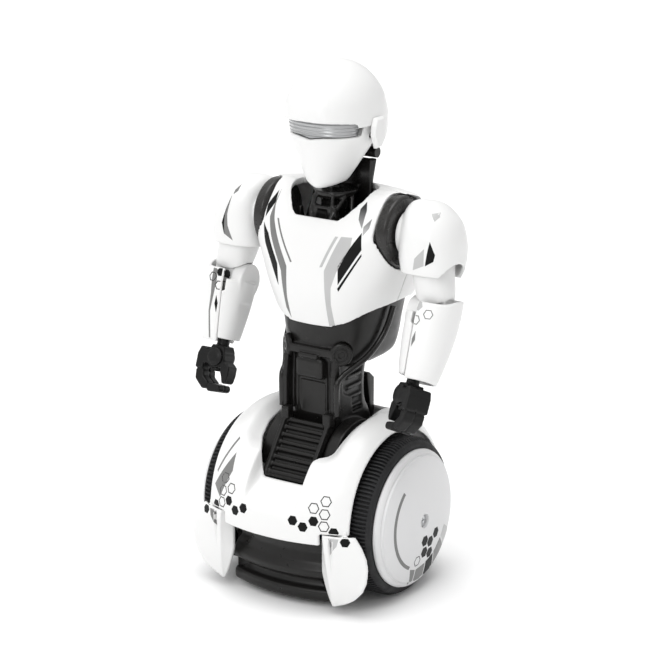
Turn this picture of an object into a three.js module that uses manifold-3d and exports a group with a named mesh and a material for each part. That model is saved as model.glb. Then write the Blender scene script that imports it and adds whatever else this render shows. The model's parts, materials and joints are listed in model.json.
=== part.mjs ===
// Toy robot with a human-like upper body on a two-wheeled base.
// Millimetres, +Z up, the robot faces -Y, origin on the floor between the two wheels.
import * as THREE from 'three';
import { mergeVertices } from 'three/addons/utils/BufferGeometryUtils.js';
import Module from 'manifold-3d';

const wasm = await Module();
wasm.setup();

// ---- driving dimensions -------------------------------------------------------------------
const WHEEL_RADIUS = 45;
const TYRE_INSIDE = 38;
const TYRE_OUTSIDE = 56;
const RIM_RADIUS = 39.4;
const DOME_HEIGHT = 9.6;
const SCREW_RECESS = 4.2;
const AXLE_RADIUS = 2;
const GAP = 0.35;

const SHELL_HALF_WIDTH = 46.6;
const SHELL_EDGE_RADIUS = 48.6;
const SHELL_THICKNESS = 2;
const SHELL_SPLIT_Y = 6;
const SHELL_FRONT_LOW = 41;
const SHELL_REAR_LOW = 24;
const SKIRT_TOP = 47.4;
const WELL_WALL_X = 34.5;

const TRAY_BOTTOM = 10;
const frontRoller = { name: 'front_roller', y: -32, radius: 4.4 };
const rearRoller = { name: 'rear_roller', y: 47, radius: 5 };
const CELL_RADIUS = 7.1;
const CELL_LENGTH = 50;

const TORSO_SPLIT_Y = 14;
const SHOULDER = { x: 66, y: 11, z: 205.2 };
const ELBOW_DROP = 42.4;
const WRIST_DROP = 37;
const KNUCKLE_DROP = 8.5;
const HEAD_Y = 9;
const HEAD_TOP = 297;
const CHIN = 228.2;

// how far each arm hangs from straight down at rest, in degrees forwards
const ARM_POSE = {
  left: { shoulder: 12, elbow: 15, wrist: -30 },
  right: { shoulder: 8, elbow: 12, wrist: 0 },
};

const WHITE = { color: 0xf1f1ef, roughness: 0.32, metalness: 0 };
const BLACK = { color: 0x161514, roughness: 0.38, metalness: 0 };
const RUBBER = { color: 0x1b1b1b, roughness: 0.85, metalness: 0 };
const STEEL = { color: 0xb4b6b8, roughness: 0.3, metalness: 1 };
const SILVER = { color: 0xc3c6c9, roughness: 0.25, metalness: 0.6 };
const GREY = { color: 0x8c8f93, roughness: 0.5, metalness: 0 };
const GREEN = { color: 0x1d5b34, roughness: 0.6, metalness: 0 };
const CELL = { color: 0x3b6ea8, roughness: 0.4, metalness: 0.3 };

const robot = new THREE.Group();

// ---- solids -------------------------------------------------------------------------------
function toSolid(geometry) {
  const bare = geometry.clone();
  bare.deleteAttribute('normal');
  bare.deleteAttribute('uv');
  const merged = mergeVertices(bare, 1e-4);
  return new wasm.Manifold(new wasm.Mesh({
    numProp: 3,
    vertProperties: new Float32Array(merged.attributes.position.array),
    triVerts: new Uint32Array(merged.index.array),
  }));
}

function toGeometry(solid) {
  const mesh = solid.getMesh();
  const geometry = new THREE.BufferGeometry();
  geometry.setAttribute('position', new THREE.BufferAttribute(mesh.vertProperties, 3));
  geometry.setIndex(new THREE.BufferAttribute(mesh.triVerts, 1));
  geometry.computeVertexNormals();
  return geometry;
}

function cut(body, ...tools) {
  return tools.reduce((solid, tool) => solid.subtract(tool), body);
}

function join(body, ...others) {
  return others.reduce((solid, other) => solid.add(other), body);
}

function place(name, solid, look, parent = robot) {
  const mesh = new THREE.Mesh(toGeometry(solid), new THREE.MeshStandardMaterial(look));
  mesh.name = name;
  parent.add(mesh);
  return mesh;
}

// a box from its lowest and highest corners
function block(x0, y0, z0, x1, y1, z1) {
  const geometry = new THREE.BoxGeometry(x1 - x0, y1 - y0, z1 - z0);
  geometry.translate((x0 + x1) / 2, (y0 + y1) / 2, (z0 + z1) / 2);
  return toSolid(geometry);
}

// a geometry built along +Z is turned so that it runs along X, Y or Z
function along(geometry, axis) {
  if (axis === 'x') geometry.rotateY(Math.PI / 2);
  if (axis === 'y') geometry.rotateX(-Math.PI / 2);
  return geometry;
}

// a cylinder along an axis, from one end to the other; the centre is the other two coordinates
function rod(axis, radius, from, to, centre, sides = 24) {
  const geometry = new THREE.CylinderGeometry(radius, radius, to - from, sides);
  geometry.rotateX(Math.PI / 2);
  geometry.translate(0, 0, (from + to) / 2);
  along(geometry, axis);
  const shift = { x: [0, centre[0], centre[1]], y: [centre[0], 0, centre[1]], z: [centre[0], centre[1], 0] };
  geometry.translate(...shift[axis]);
  return toSolid(geometry);
}

// a turned piece: profile points are [radius, position along the axis]
function turned(axis, profile, centre, sides = 48) {
  const geometry = new THREE.LatheGeometry(profile.map(([r, h]) => new THREE.Vector2(r, h)), sides);
  geometry.rotateX(Math.PI / 2);
  along(geometry, axis);
  const shift = { x: [0, centre[0], centre[1]], y: [centre[0], 0, centre[1]], z: [centre[0], centre[1], 0] };
  geometry.translate(...shift[axis]);
  const solid = toSolid(geometry);
  return solid.volume() < 0 ? toSolid(flipped(geometry)) : solid;
}

function flipped(geometry) {
  const index = geometry.index.array;
  for (let i = 0; i < index.length; i += 3) {
    [index[i], index[i + 1]] = [index[i + 1], index[i]];
  }
  return geometry;
}

// an outline of [x, z] points, pushed along Y from y0 to y1
function plateY(points, y0, y1) {
  const shape = new THREE.Shape(points.map(([x, z]) => new THREE.Vector2(x, -z)));
  const geometry = new THREE.ExtrudeGeometry(shape, { depth: y1 - y0, bevelEnabled: false });
  geometry.rotateX(-Math.PI / 2);
  geometry.translate(0, y0, 0);
  return toSolid(geometry);
}

// an outline of [y, z] points, pushed along X from x0 to x1
function plateX(points, x0, x1) {
  const shape = new THREE.Shape(points.map(([y, z]) => new THREE.Vector2(y, z)));
  const geometry = new THREE.ExtrudeGeometry(shape, { depth: x1 - x0, bevelEnabled: false });
  geometry.rotateZ(Math.PI / 2);
  geometry.rotateY(Math.PI / 2);
  geometry.translate(x0, 0, 0);
  return toSolid(geometry);
}

// an outline of [x, y] points, pushed up from z0 to z1
function plateZ(points, z0, z1) {
  const shape = new THREE.Shape(points.map(([x, y]) => new THREE.Vector2(x, y)));
  const geometry = new THREE.ExtrudeGeometry(shape, { depth: z1 - z0, bevelEnabled: false });
  geometry.translate(0, 0, z0);
  return toSolid(geometry);
}

// a skin through closed rings of points, closed at both ends
function loft(rings) {
  const count = rings[0].length;
  const positions = rings.flat().flatMap((p) => [p.x, p.y, p.z]);
  const index = [];
  for (let i = 0; i + 1 < rings.length; i += 1) {
    for (let j = 0; j < count; j += 1) {
      const a = i * count + j;
      const b = i * count + (j + 1) % count;
      index.push(a, b, b + count, a, b + count, a + count);
    }
  }
  [0, rings.length - 1].forEach((end) => {
    const middle = rings[end].reduce((sum, p) => sum.clone().add(p), new THREE.Vector3());
    middle.divideScalar(count);
    positions.push(middle.x, middle.y, middle.z);
    const hub = positions.length / 3 - 1;
    for (let j = 0; j < count; j += 1) {
      const a = end * count + j;
      const b = end * count + (j + 1) % count;
      index.push(...(end === 0 ? [hub, b, a] : [hub, a, b]));
    }
  });
  const geometry = new THREE.BufferGeometry();
  geometry.setAttribute('position', new THREE.Float32BufferAttribute(positions, 3));
  geometry.setIndex(index);
  const solid = toSolid(geometry);
  return solid.volume() < 0 ? toSolid(flipped(geometry)) : solid;
}

// a level ring: half width a, front edge yf, back edge yb, squareness n
function levelRing(z, a, yf, yb, n, sides, inset = 0, xc = 0) {
  const ring = [];
  const yc = (yf + yb) / 2;
  for (let i = 0; i < sides; i += 1) {
    const t = (2 * Math.PI * i) / sides;
    const c = Math.cos(t);
    const s = Math.sin(t);
    const x = Math.sign(c) * Math.abs(c) ** (2 / n) * (a - inset);
    const y = Math.sign(s) * Math.abs(s) ** (2 / n) * ((yb - yf) / 2 - inset);
    ring.push(new THREE.Vector3(xc + x, yc + y, z));
  }
  return ring;
}

function levelLoft(rows, sides, inset = 0, xc = 0) {
  return loft(rows.map(([z, a, yf, yb, n]) => levelRing(z, a, yf, yb, n, sides, inset, xc)));
}

// a round bar along a curve through points
function bentBar(points, radius, sides = 6, steps = 9) {
  const path = new THREE.CatmullRomCurve3(points.map((p) => new THREE.Vector3(...p)));
  const shape = new THREE.Shape();
  for (let i = 0; i < sides; i += 1) {
    const t = (2 * Math.PI * i) / sides;
    if (i === 0) shape.moveTo(radius, 0);
    else shape.lineTo(radius * Math.cos(t), radius * Math.sin(t));
  }
  const geometry = new THREE.ExtrudeGeometry(shape, { steps, extrudePath: path, bevelEnabled: false });
  const solid = toSolid(geometry);
  return solid.volume() < 0 ? toSolid(flipped(mergeVertices(geometry, 1e-4))) : solid;
}

function mirrored(solid) {
  return solid.mirror([1, 0, 0]);
}

const sides = [['left', 1], ['right', -1]];

function forSide(solid, sign) {
  return sign > 0 ? solid : mirrored(solid);
}

// ---- base shell ---------------------------------------------------------------------------
function smooth(t) {
  const s = Math.min(1, Math.max(0, t));
  return s * s * (3 - 2 * s);
}

// distance of the shell from the wheel axis; angle 0 is straight ahead and 90 straight up
function shellRadius(x, angle) {
  const across = Math.min(1, Math.abs(x) / SHELL_HALF_WIDTH);
  const nose = SHELL_EDGE_RADIUS + 12 * (1 - across ** 2) ** 0.9;
  const crest = 56 - 7.4 * (Math.max(0, Math.abs(x) - 34) / 14) ** 2;
  const dipAlong = smooth((angle - 40) / 15) * (1 - smooth((angle - 85) / 30));
  const dip = 7 * smooth((34 - Math.abs(x)) / 12) * dipAlong;
  const toCrest = smooth((angle - 5) / 45);
  const tail = 3 * smooth((angle - 90) / 40) * (1 - across ** 2) ** 0.5;
  const channelAlong = smooth((angle - 9) / 20) * (1 - smooth((angle - 60) / 20));
  const channel = 8 * smooth((18 - Math.abs(x)) / 4) * channelAlong;
  return nose * (1 - toCrest) + (crest - dip) * toCrest + tail - channel;
}

function shellSection(x, inset) {
  const ring = [];
  const steps = 36;
  for (let i = 0; i < steps; i += 1) {
    const angle = -35 + (360 * i) / steps;
    const upper = angle > 180 ? Math.min(200, angle) : angle;
    const r = (angle > 215 ? 50 : shellRadius(x, upper)) - inset;
    const t = THREE.MathUtils.degToRad(angle);
    ring.push(new THREE.Vector3(x, -r * Math.cos(t), WHEEL_RADIUS + r * Math.sin(t)));
  }
  return ring;
}

function shellBody(inset, halfWidth) {
  const stations = [-1, -0.92, -0.82, -0.7, -0.54, -0.38, -0.26, 0.26, 0.38, 0.54, 0.7, 0.82, 0.92, 1];
  return loft(stations.map((s) => shellSection(s * halfWidth, inset)));
}

const openingOutline = [[-13.8, -60], [-13.8, -42], [-17.5, -39], [-24.5, -28], [-26, -19], [-26, 22],
  [-20, 30], [20, 30], [26, 22], [26, -19], [24.5, -28], [17.5, -39], [13.8, -42], [13.8, -60]];

function baseShell() {
  const wall = SHELL_THICKNESS;
  const hollow = shellBody(wall, SHELL_HALF_WIDTH + 1);
  const wellWall = rod('x', 64, WELL_WALL_X, WELL_WALL_X + wall, [0, WHEEL_RADIUS], 24);
  const hubHole = rod('x', 14, WELL_WALL_X - 1, WELL_WALL_X + wall + 1, [0, WHEEL_RADIUS]);
  const wells = join(cut(wellWall, hubHole), mirrored(cut(wellWall, hubHole)));
  const shell = join(cut(shellBody(0, SHELL_HALF_WIDTH), hollow), wells.intersect(shellBody(1, 48)));
  // the waist passes through the top; the apron's foot closes the front of the opening
  const opening = plateZ(openingOutline, 68.4, 130);
  return cut(shell, opening);
}

function shells() {
  const shell = baseShell();
  const frontEdge = SHELL_SPLIT_Y - GAP / 2;
  const ahead = join(block(-31.4, -80, SHELL_FRONT_LOW, 31.4, frontEdge, 140),
    block(-60, -80, SKIRT_TOP + GAP, 60, frontEdge, 140),
    block(-60, -40, SHELL_FRONT_LOW, 60, frontEdge, 140));
  const behind = block(-60, SHELL_SPLIT_Y + GAP / 2, SHELL_REAR_LOW, 60, 80, 140);
  place('front_shell', shell.intersect(ahead), WHITE);
  place('rear_shell', shell.intersect(behind), WHITE);
}

// a skirt hangs in front of each wheel: a broad outer panel folded back along its inner edge
function skirts() {
  const outline = [[33.4, SKIRT_TOP], [49, SKIRT_TOP], [55, 41], [58.6, 31], [57.6, 22], [50.5, 10.6],
    [43, 5.6], [37, 4.4], [33.4, 8]];
  const panel = plateY(outline, -51.5, -48.8);
  const fold = plateX([[-55.4, SKIRT_TOP], [-49, SKIRT_TOP], [-47, 17.5], [-51.5, 8], [-53.6, 12]],
    31.8, 34.4);
  const face = loft([
    [[34, -55], [49, -52.4], [49, -50], [34, -50]],
    [[34, -52.6], [50, -50.8], [50, -50], [34, -50]],
  ].map((row, i) => row.map(([x, y]) => new THREE.Vector3(x, y, i === 0 ? SKIRT_TOP : 12))));
  const skirt = join(panel, fold, face);
  sides.forEach(([side, sign]) => place(`skirt_${side}`, forSide(skirt, sign), WHITE));
}

// ---- chassis ------------------------------------------------------------------------------
function chassisTray() {
  const floor = TRAY_BOTTOM + 2.2;
  const outer = block(-33, -41, TRAY_BOTTOM, 33, 41, 38);
  const inner = block(-31, -39, floor, 31, 39, 39);
  const batteryHole = block(-24, -27, TRAY_BOTTOM - 1, 24, 27, floor + 1);
  const switchSlot = block(-5.4, 30.6, TRAY_BOTTOM - 1, 5.4, 36.4, floor + 1);
  const axleHole = rod('x', 4, -40, 40, [0, WHEEL_RADIUS]);
  let tray = cut(outer, inner, batteryHole, switchSlot, axleHole);
  const frontFork = [[-36, 2.2], [-36, 12], [-27.4, 12], [-27.4, 9.4], [-29, 2.2]];
  const rearFork = [[51, 2.6], [51, 10.2], [41.2, 10.2], [40.6, 12], [36, 12], [36, 10], [44, 2.6]];
  [[frontRoller, frontFork], [rearRoller, rearFork]].forEach(([roller, section]) => {
    [11.2, -14.2].forEach((x) => {
      const hole = rod('x', 1.7, x - 1, x + 4, [roller.y, roller.radius], 16);
      tray = cut(join(tray, plateX(section, x, x + 3)), hole);
    });
  });
  place('chassis_tray', tray, BLACK);
}

function battery() {
  const door = block(-23.6, -26.6, TRAY_BOTTOM, 23.6, 26.6, TRAY_BOTTOM + 1.8);
  const screwHole = rod('z', 2.4, TRAY_BOTTOM - 1, TRAY_BOTTOM + 3, [0, -22.5], 20);
  place('battery_door', cut(door, screwHole), BLACK);
  const head = rod('z', 2.05, TRAY_BOTTOM + 0.2, TRAY_BOTTOM + 1.4, [0, -22.5], 16);
  const shank = rod('z', 1.1, TRAY_BOTTOM + 1, TRAY_BOTTOM + 2.3, [0, -22.5], 12);
  place('battery_door_screw', join(head, shank), STEEL);
  const height = TRAY_BOTTOM + 2.4 + CELL_RADIUS + 0.4;
  [-1, 0, 1].forEach((slot, i) => {
    const x = slot * (2 * CELL_RADIUS + 0.9);
    const can = rod('y', CELL_RADIUS, -CELL_LENGTH / 2, CELL_LENGTH / 2 - 1.4, [x, height], 16);
    const cap = rod('y', 2.7, CELL_LENGTH / 2 - 1.6, CELL_LENGTH / 2, [x, height], 8);
    place(`battery_cell_${i + 1}`, join(can, cap), CELL);
  });
}

function drive() {
  const boxSection = [[-14, 31], [14, 31], [14, 52], [8, 60], [-10, 60], [-14, 54]];
  const motor = rod('x', 10, 3, 14, [2, WHEEL_RADIUS + 2]);
  const axleBore = rod('x', AXLE_RADIUS + GAP, 17, 34, [0, WHEEL_RADIUS], 20);
  const gearbox = cut(join(plateX(boxSection, 12, 30.6), motor), axleBore);
  sides.forEach(([side, sign]) => {
    place(`drive_gearbox_${side}`, forSide(gearbox, sign), GREY);
  });
}

function electronics() {
  const board = block(-24, -14, 66, 24, 26, 67.6);
  const chip = block(-8, -4, 67.5, 6, 8, 69.4);
  const plug = block(12, -8, 67.5, 22, -1, 70.4);
  place('circuit_board', join(board, chip, plug), GREEN);
  const profile = [[0, 27], [13, 27], [15, 32], [15, 34], [11, 34], [3, 31], [0, 31]];
  const basket = turned('y', profile, [0, 60], 20);
  place('speaker', basket, BLACK);
  const knob = block(-4.9, 31.2, TRAY_BOTTOM - 1.6, 0.1, 35.8, TRAY_BOTTOM + 3.4);
  place('power_switch', knob, WHITE);
}

function rollers() {
  [frontRoller, rearRoller].forEach(({ name, y, radius }) => {
    const profile = [[0, -13.4], [1.35, -13.4], [1.35, -10.6], [radius - 1, -10.4], [radius, -9.4],
      [radius, 9.4], [radius - 1, 10.4], [1.35, 10.6], [1.35, 13.4], [0, 13.4]];
    place(name, turned('x', profile, [y, radius], 16), BLACK);
  });
}

// two round lips one above the other; both curve back and rise towards their ends
function bumper(top) {
  const half = 29;
  const low = 4.4;
  const profile = [[-0.6, top], [-2.2, Math.min(31, top - 0.6)], [-0.4, Math.min(24.6, top - 1.2)],
    [1.7, 21.6], [2.4, 20.4], [2.4, 17.4], [1.5, 16.3], [-1.4, 15.6], [-2.6, 13], [-1.4, 10.4],
    [1.4, 9.1], [2.2, 8], [2.2, 5.6], [1.2, low], [-3, low + 0.2], [-12, low + 1], [-12, 12],
    [-12, 16], [-12, top]];
  const rings = [-1, -0.8, -0.6, -0.4, -0.2, 0, 0.2, 0.4, 0.6, 0.8, 1].map((s) => {
    const x = s * half;
    const front = -54.5 + 0.012 * x ** 2;
    return profile.map(([out, z]) => {
      const rise = 0.0105 * x ** 2 * (1 - (z - low) / (top - low));
      return new THREE.Vector3(x, front - out, z + rise);
    });
  });
  return cut(loft(rings), block(-30, -41.4, 0, 30, -20, 50));
}

function bumpers() {
  const rollerRoom = block(-14.6, 40, -1, 14.6, 52.6, 10.6);
  place('front_bumper', bumper(40.2), BLACK);
  const rear = bumper(SHELL_REAR_LOW - 0.4).mirror([0, 1, 0]);
  place('rear_bumper', cut(rear, rollerRoom), BLACK);
}

// ---- wheels -------------------------------------------------------------------------------
function tyreSolid() {
  const teeth = 36;
  const groove = 1.2;
  const outline = new THREE.Shape();
  for (let i = 0; i < teeth; i += 1) {
    [[0.05, WHEEL_RADIUS - groove], [0.2, WHEEL_RADIUS], [0.8, WHEEL_RADIUS], [0.95, WHEEL_RADIUS - groove]]
      .forEach(([part, r]) => {
        const t = (2 * Math.PI * (i + part)) / teeth;
        if (i === 0 && part === 0.05) outline.moveTo(r * Math.cos(t), r * Math.sin(t));
        else outline.lineTo(r * Math.cos(t), r * Math.sin(t));
      });
  }
  const inner = new THREE.Path();
  inner.absarc(0, 0, RIM_RADIUS - 1, 0, 2 * Math.PI, true);
  outline.holes.push(inner);
  const geometry = new THREE.ExtrudeGeometry(outline, {
    depth: TYRE_OUTSIDE - TYRE_INSIDE, bevelEnabled: false, curveSegments: 20,
  });
  along(geometry, 'x');
  geometry.translate(TYRE_INSIDE, 0, WHEEL_RADIUS);
  return toSolid(geometry);
}

function hubcapSolid() {
  const rim = RIM_RADIUS;
  const base = TYRE_OUTSIDE + 0.3;
  const top = base + 2;
  const outer = [];
  const inner = [];
  for (let i = 0; i <= 5; i += 1) {
    const r = SCREW_RECESS + ((rim - SCREW_RECESS) * i) / 5;
    const rise = DOME_HEIGHT * Math.sqrt(1 - (r / (rim + 2)) ** 2) - 2;
    outer.push([r, top + rise]);
    if (r < rim - 1.5) inner.push([r, Math.max(base, top + rise - 2)]);
  }
  const recess = [[AXLE_RADIUS + 0.2, top + 4], [SCREW_RECESS, top + 4]];
  const profile = [...recess, ...outer, [rim, base], [rim - 2, base], ...inner.reverse().slice(0, -1),
    [SCREW_RECESS + 2, top + 2], [AXLE_RADIUS + 0.2, top + 2], [AXLE_RADIUS + 0.2, top + 4]];
  return turned('x', profile, [0, WHEEL_RADIUS], 28);
}

function wheels() {
  const tyre = tyreSolid();
  const hubRadius = RIM_RADIUS - 1.5;
  let hub = turned('x', [[AXLE_RADIUS + GAP, 39], [7, 39], [7, 44], [hubRadius - 3, 44], [hubRadius - 3, 39],
    [hubRadius, 39], [hubRadius, 54], [hubRadius - 3, 54], [hubRadius - 3, 47], [7, 47], [7, 53],
    [AXLE_RADIUS + GAP, 53], [AXLE_RADIUS + GAP, 39]], [0, WHEEL_RADIUS], 24);
  for (let i = 0; i < 5; i += 1) {
    const t = (2 * Math.PI * (i + 0.5)) / 5;
    const hole = rod('x', 7.5, 40, 50, [21 * Math.cos(t), WHEEL_RADIUS + 21 * Math.sin(t)], 8);
    hub = cut(hub, hole);
  }
  const cap = hubcapSolid();
  const axle = rod('x', AXLE_RADIUS, 18, 54, [0, WHEEL_RADIUS], 20);
  const capTop = TYRE_OUTSIDE + 0.3 + 2 + 4;
  const screw = join(rod('x', 3.4, capTop + 0.3, capTop + 2, [0, WHEEL_RADIUS], 20),
    rod('x', 1.3, 54.4, capTop + 0.5, [0, WHEEL_RADIUS], 12));
  sides.forEach(([side, sign]) => {
    place(`wheel_axle_${side}`, forSide(axle, sign), STEEL);
    place(`wheel_hub_${side}`, forSide(hub, sign), WHITE);
    place(`tyre_${side}`, forSide(tyre, sign), RUBBER);
    place(`hubcap_${side}`, forSide(cap, sign), WHITE);
    place(`hubcap_screw_${side}`, forSide(screw, sign), STEEL);
  });
}

// ---- waist --------------------------------------------------------------------------------
const APRON_FOOT = { y: -41, z: 68.8 };
const APRON_TOP = { y: -19, z: 97 };

function ribbedApron() {
  const dy = APRON_TOP.y - APRON_FOOT.y;
  const dz = APRON_TOP.z - APRON_FOOT.z;
  const slab = [[APRON_FOOT.y, APRON_FOOT.z], [APRON_TOP.y, APRON_TOP.z], [APRON_TOP.y + 4, APRON_TOP.z - 3],
    [APRON_FOOT.y + 4, APRON_FOOT.z - 3]];
  let apron = plateX(slab, -12.8, 12.8);
  for (let i = 0; i < 7; i += 1) {
    const s = 0.08 + i * 0.125;
    const y = APRON_FOOT.y + dy * s;
    const z = APRON_FOOT.z + dz * s;
    apron = cut(apron, plateX([[y - 2, z - 0.4], [y + 1.2, z - 0.4], [y + 1.9, z + 0.9], [y - 1, z + 1.6]],
      -10.2, 10.2));
  }
  const rail = plateX([[-41.6, 68], [-40.2, 71.4], [-24, 93], [-18.6, 101], [-15, 101], [-15, 95],
    [-36, 66]], 13.1, 15.6);
  const bridge = plateX([[-37.4, 70], [-18, 95], [-15.2, 95], [-15.2, 88], [-34, 66.4]], -14, 14);
  place('ribbed_apron', join(apron, rail, mirrored(rail), bridge), BLACK);
}

// the round cap low on each side of the waist faces forwards and outwards
const capTurn = new THREE.Matrix4().makeTranslation(16.8, -11.4, 136.6)
  .multiply(new THREE.Matrix4().makeRotationZ(THREE.MathUtils.degToRad(45)))
  .multiply(new THREE.Matrix4().makeRotationX(Math.PI / 2));

function waistFrame() {
  const column = levelLoft([
    [71, 20, -12, 24, 5],
    [92, 17.5, -11.5, 24, 5],
    [104, 15.7, -14, 20, 5],
    [120, 15.7, -14, 20, 5],
    [134, 17.4, -14, 24, 3.6],
    [146, 20, -14.2, 25, 3],
  ], 24);
  const hips = levelLoft([
    [127, 20, -8, 40, 3],
    [131, 25, -11.6, 45, 3],
    [140, 28, -13.8, 47.6, 2.8],
    [150, 30.2, -14.8, 49, 2.6],
    [158, 31.8, -15.8, 50, 2.6],
    [166, 33.4, -16.2, 51, 2.6],
  ], 28);
  const housing = block(-9, -18.4, 122, 9, -12, 134);
  const cowl = rod('x', 27, 16.6, 24, [-4, 70], 28).intersect(block(15, -40, 71, 26, 30, 100));
  const capRoom = rod('z', 7, -GAP, 12, [0, 0], 24).transform(capTurn.elements);
  const panelRoom = block(-9, -20, 100, 9, -13, 119);
  place('waist_frame', cut(join(column, hips, housing, cowl, mirrored(cowl)), capRoom, mirrored(capRoom),
    panelRoom), BLACK);
  const spine = [[24.6, 78], [29.4, 82], [29.4, 112], [24.6, 116], [22, 116], [24.4, 100], [24.6, 96]];
  place('spine_box', plateX(spine, -13, 13), BLACK);
}

function waistDetails() {
  const profile = [[0, 0], [6.6, 0], [6.6, 2], [5.4, 3.2], [3.6, 3.2], [3.2, 2.4], [0, 2.4]];
  const seated = turned('z', profile, [0, 0], 24).transform(capTurn.elements);
  const strut = bentBar([[35, 14, 161], [32.8, 11, 149.5], [30, 6, 140.5], [27.2, -0.8, 134],
    [22.6, -7.4, 128.6], [19.4, -13, 124.6], [18.4, -17.4, 119.6], [18.2, -17.4, 102.6]], 1.7);
  sides.forEach(([side, sign]) => {
    place(`pivot_cap_${side}`, forSide(seated, sign), BLACK);
    place(`waist_rod_${side}`, forSide(strut, sign), BLACK);
  });
}

// ---- torso --------------------------------------------------------------------------------
const torsoRows = [
  [138, 24, -14, 44, 2.3],
  [150, 33, -17, 50, 2.4],
  [160, 36, -19, 54, 2.5],
  [172, 40.5, -20, 55, 2.6],
  [185, 45, -19.2, 53, 2.7],
  [197, 48, -17.6, 46, 2.8],
  [207, 49, -14, 41, 2.8],
  [215, 49.6, -8, 37, 2.8],
  [221, 49.4, -2, 33, 2.8],
  [224.6, 46, 2, 29, 2.7],
  [226.6, 36, 6, 25, 2.4],
];
const ARM_HOLE_RADIUS = 20.6;

function torsoShells() {
  const count = 28;
  const outer = levelLoft(torsoRows, count);
  const innerRows = [[137, 24, -14, 44, 2.3], ...torsoRows.slice(0, -2), [222.8, 46, 3, 28, 2.6]];
  const inner = levelLoft(innerRows, count, 2);
  const lowEdge = plateX([[-60, 120], [-60, 150], [-19.5, 152.4], [-16, 153.6], [-13, 155.6], [-9, 159.2],
    [-4, 162], [4, 163.6], [20, 164.4], [40, 163], [60, 161], [60, 120]], -80, 80);
  const neckSide = [[0, -30], [12, -30], [13.6, -12], [17, -8], [21, -3.4], [24.6, 2], [25.4, 8], [24.6, 14],
    [21, 20], [13, 25], [0, 26]];
  const neckOutline = [...neckSide, ...neckSide.slice(1, -1).reverse().map(([x, y]) => [-x, y])];
  const neckHole = plateZ(neckOutline, 211.6, 240);
  const armHole = rod('x', ARM_HOLE_RADIUS, 36, 60, [SHOULDER.y, SHOULDER.z], 36);
  const holes = [lowEdge, neckHole, armHole, mirrored(armHole)];
  const torso = cut(outer, inner, ...holes);
  const ahead = block(-90, -60, 100, 90, TORSO_SPLIT_Y - GAP / 2, 240);
  const behind = block(-90, TORSO_SPLIT_Y + GAP / 2, 100, 90, 90, 240);
  place('chest_shell', torso.intersect(ahead), WHITE);
  place('back_shell', torso.intersect(behind), WHITE);
}

function torsoInside() {
  const profile = [[0, 36.3], [18.4, 36.3], [20, 38], [20, 42.8], [18.8, 44], [6.6, 44], [6.6, 38.6],
    [0, 38.6]];
  const socket = turned('x', profile, [SHOULDER.y, SHOULDER.z], 32);
  sides.forEach(([side, sign]) => place(`shoulder_socket_${side}`, forSide(socket, sign), BLACK));
  place('arm_gearbox', block(-16, 0, 186, 16, 20, 199), GREY);
  const post = rod('z', 8, 199.6, 223, [0, HEAD_Y], 16);
  const pin = rod('z', 2.6, 222, 243, [0, HEAD_Y], 12);
  const collarDisc = turned('z', [[0, 201], [20.4, 201], [20.4, 204], [10, 207], [0, 207]], [0, HEAD_Y], 20);
  const struts = [-1, 1].flatMap((s) => [
    bentBar([[s * 6, -6, 205], [s * 6, -4, 213], [s * 6, -2, 222]], 1.1, 6, 3),
    bentBar([[s * 4, -7, 205], [s * 8, -2, 214], [s * 10, 7, 223]], 1.4, 6, 4),
    bentBar([[s * 13.4, 19.6, 205], [s * 14.4, 21, 224], [s * 15.8, 22.4, 238.6]], 1.5, 6, 4),
  ]);
  const deck = turned('z', [[0, 221], [11, 221], [12.5, 222.6], [12.5, 225], [0, 225]], [0, HEAD_Y], 16);
  const plates = join(block(-14, 19, 204, 14, 21.6, 238), block(-11, -5, 206, 11, 0, 217));
  place('neck_frame', join(post, pin, collarDisc, deck, plates, ...struts), BLACK);
}

// ---- head ---------------------------------------------------------------------------------
const BRIM = 263;
// the lower edge of the visor, seen from the front
const visorEdge = [[-30, 259.4], [-22, 258.9], [-15, 258.6], [-8, 258], [-3.6, 257.2], [0, 256.4],
  [3.6, 257.2], [8, 258], [15, 258.6], [22, 258.9], [30, 259.4]];
const VISOR_TOP = 269.4;
const skullRows = [
  [BRIM, 25.6, -21.8, 40.4, 2.3],
  [270, 25.4, -21.6, 40, 2.2],
  [278, 24, -19.6, 37.6, 2.2],
  [285, 21, -15.4, 33, 2.1],
  [291, 16, -9.4, 26.6, 2.1],
  [295, 10, -2.6, 19.4, 2],
  [HEAD_TOP, 3.4, 4.6, 12, 2],
];
const napeRows = [
  [238, 17.4, -10, 28.6, 2.2],
  [245, 21.6, -12, 34, 2.2],
  [254, 24.8, -16, 38.8, 2.3],
  [BRIM + 0.2, 25.6, -21.8, 40.4, 2.3],
];
const faceRows = [
  [CHIN, 4.4, -10.4, 2, 2],
  [229.6, 7.4, -11.4, 5, 2],
  [232, 11.2, -12.6, 8, 2.1],
  [238, 14.2, -14.6, 12, 2.2],
  [242, 15.8, -15.4, 14, 2.2],
  [246, 17.4, -16, 18, 2.2],
  [250, 19.4, -16.6, 20, 2.3],
  [254, 21.4, -17, 20, 2.3],
  [258, 23, -17.2, 18, 2.3],
  [BRIM - GAP, 23.2, -17, 18, 2.3],
];

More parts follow.
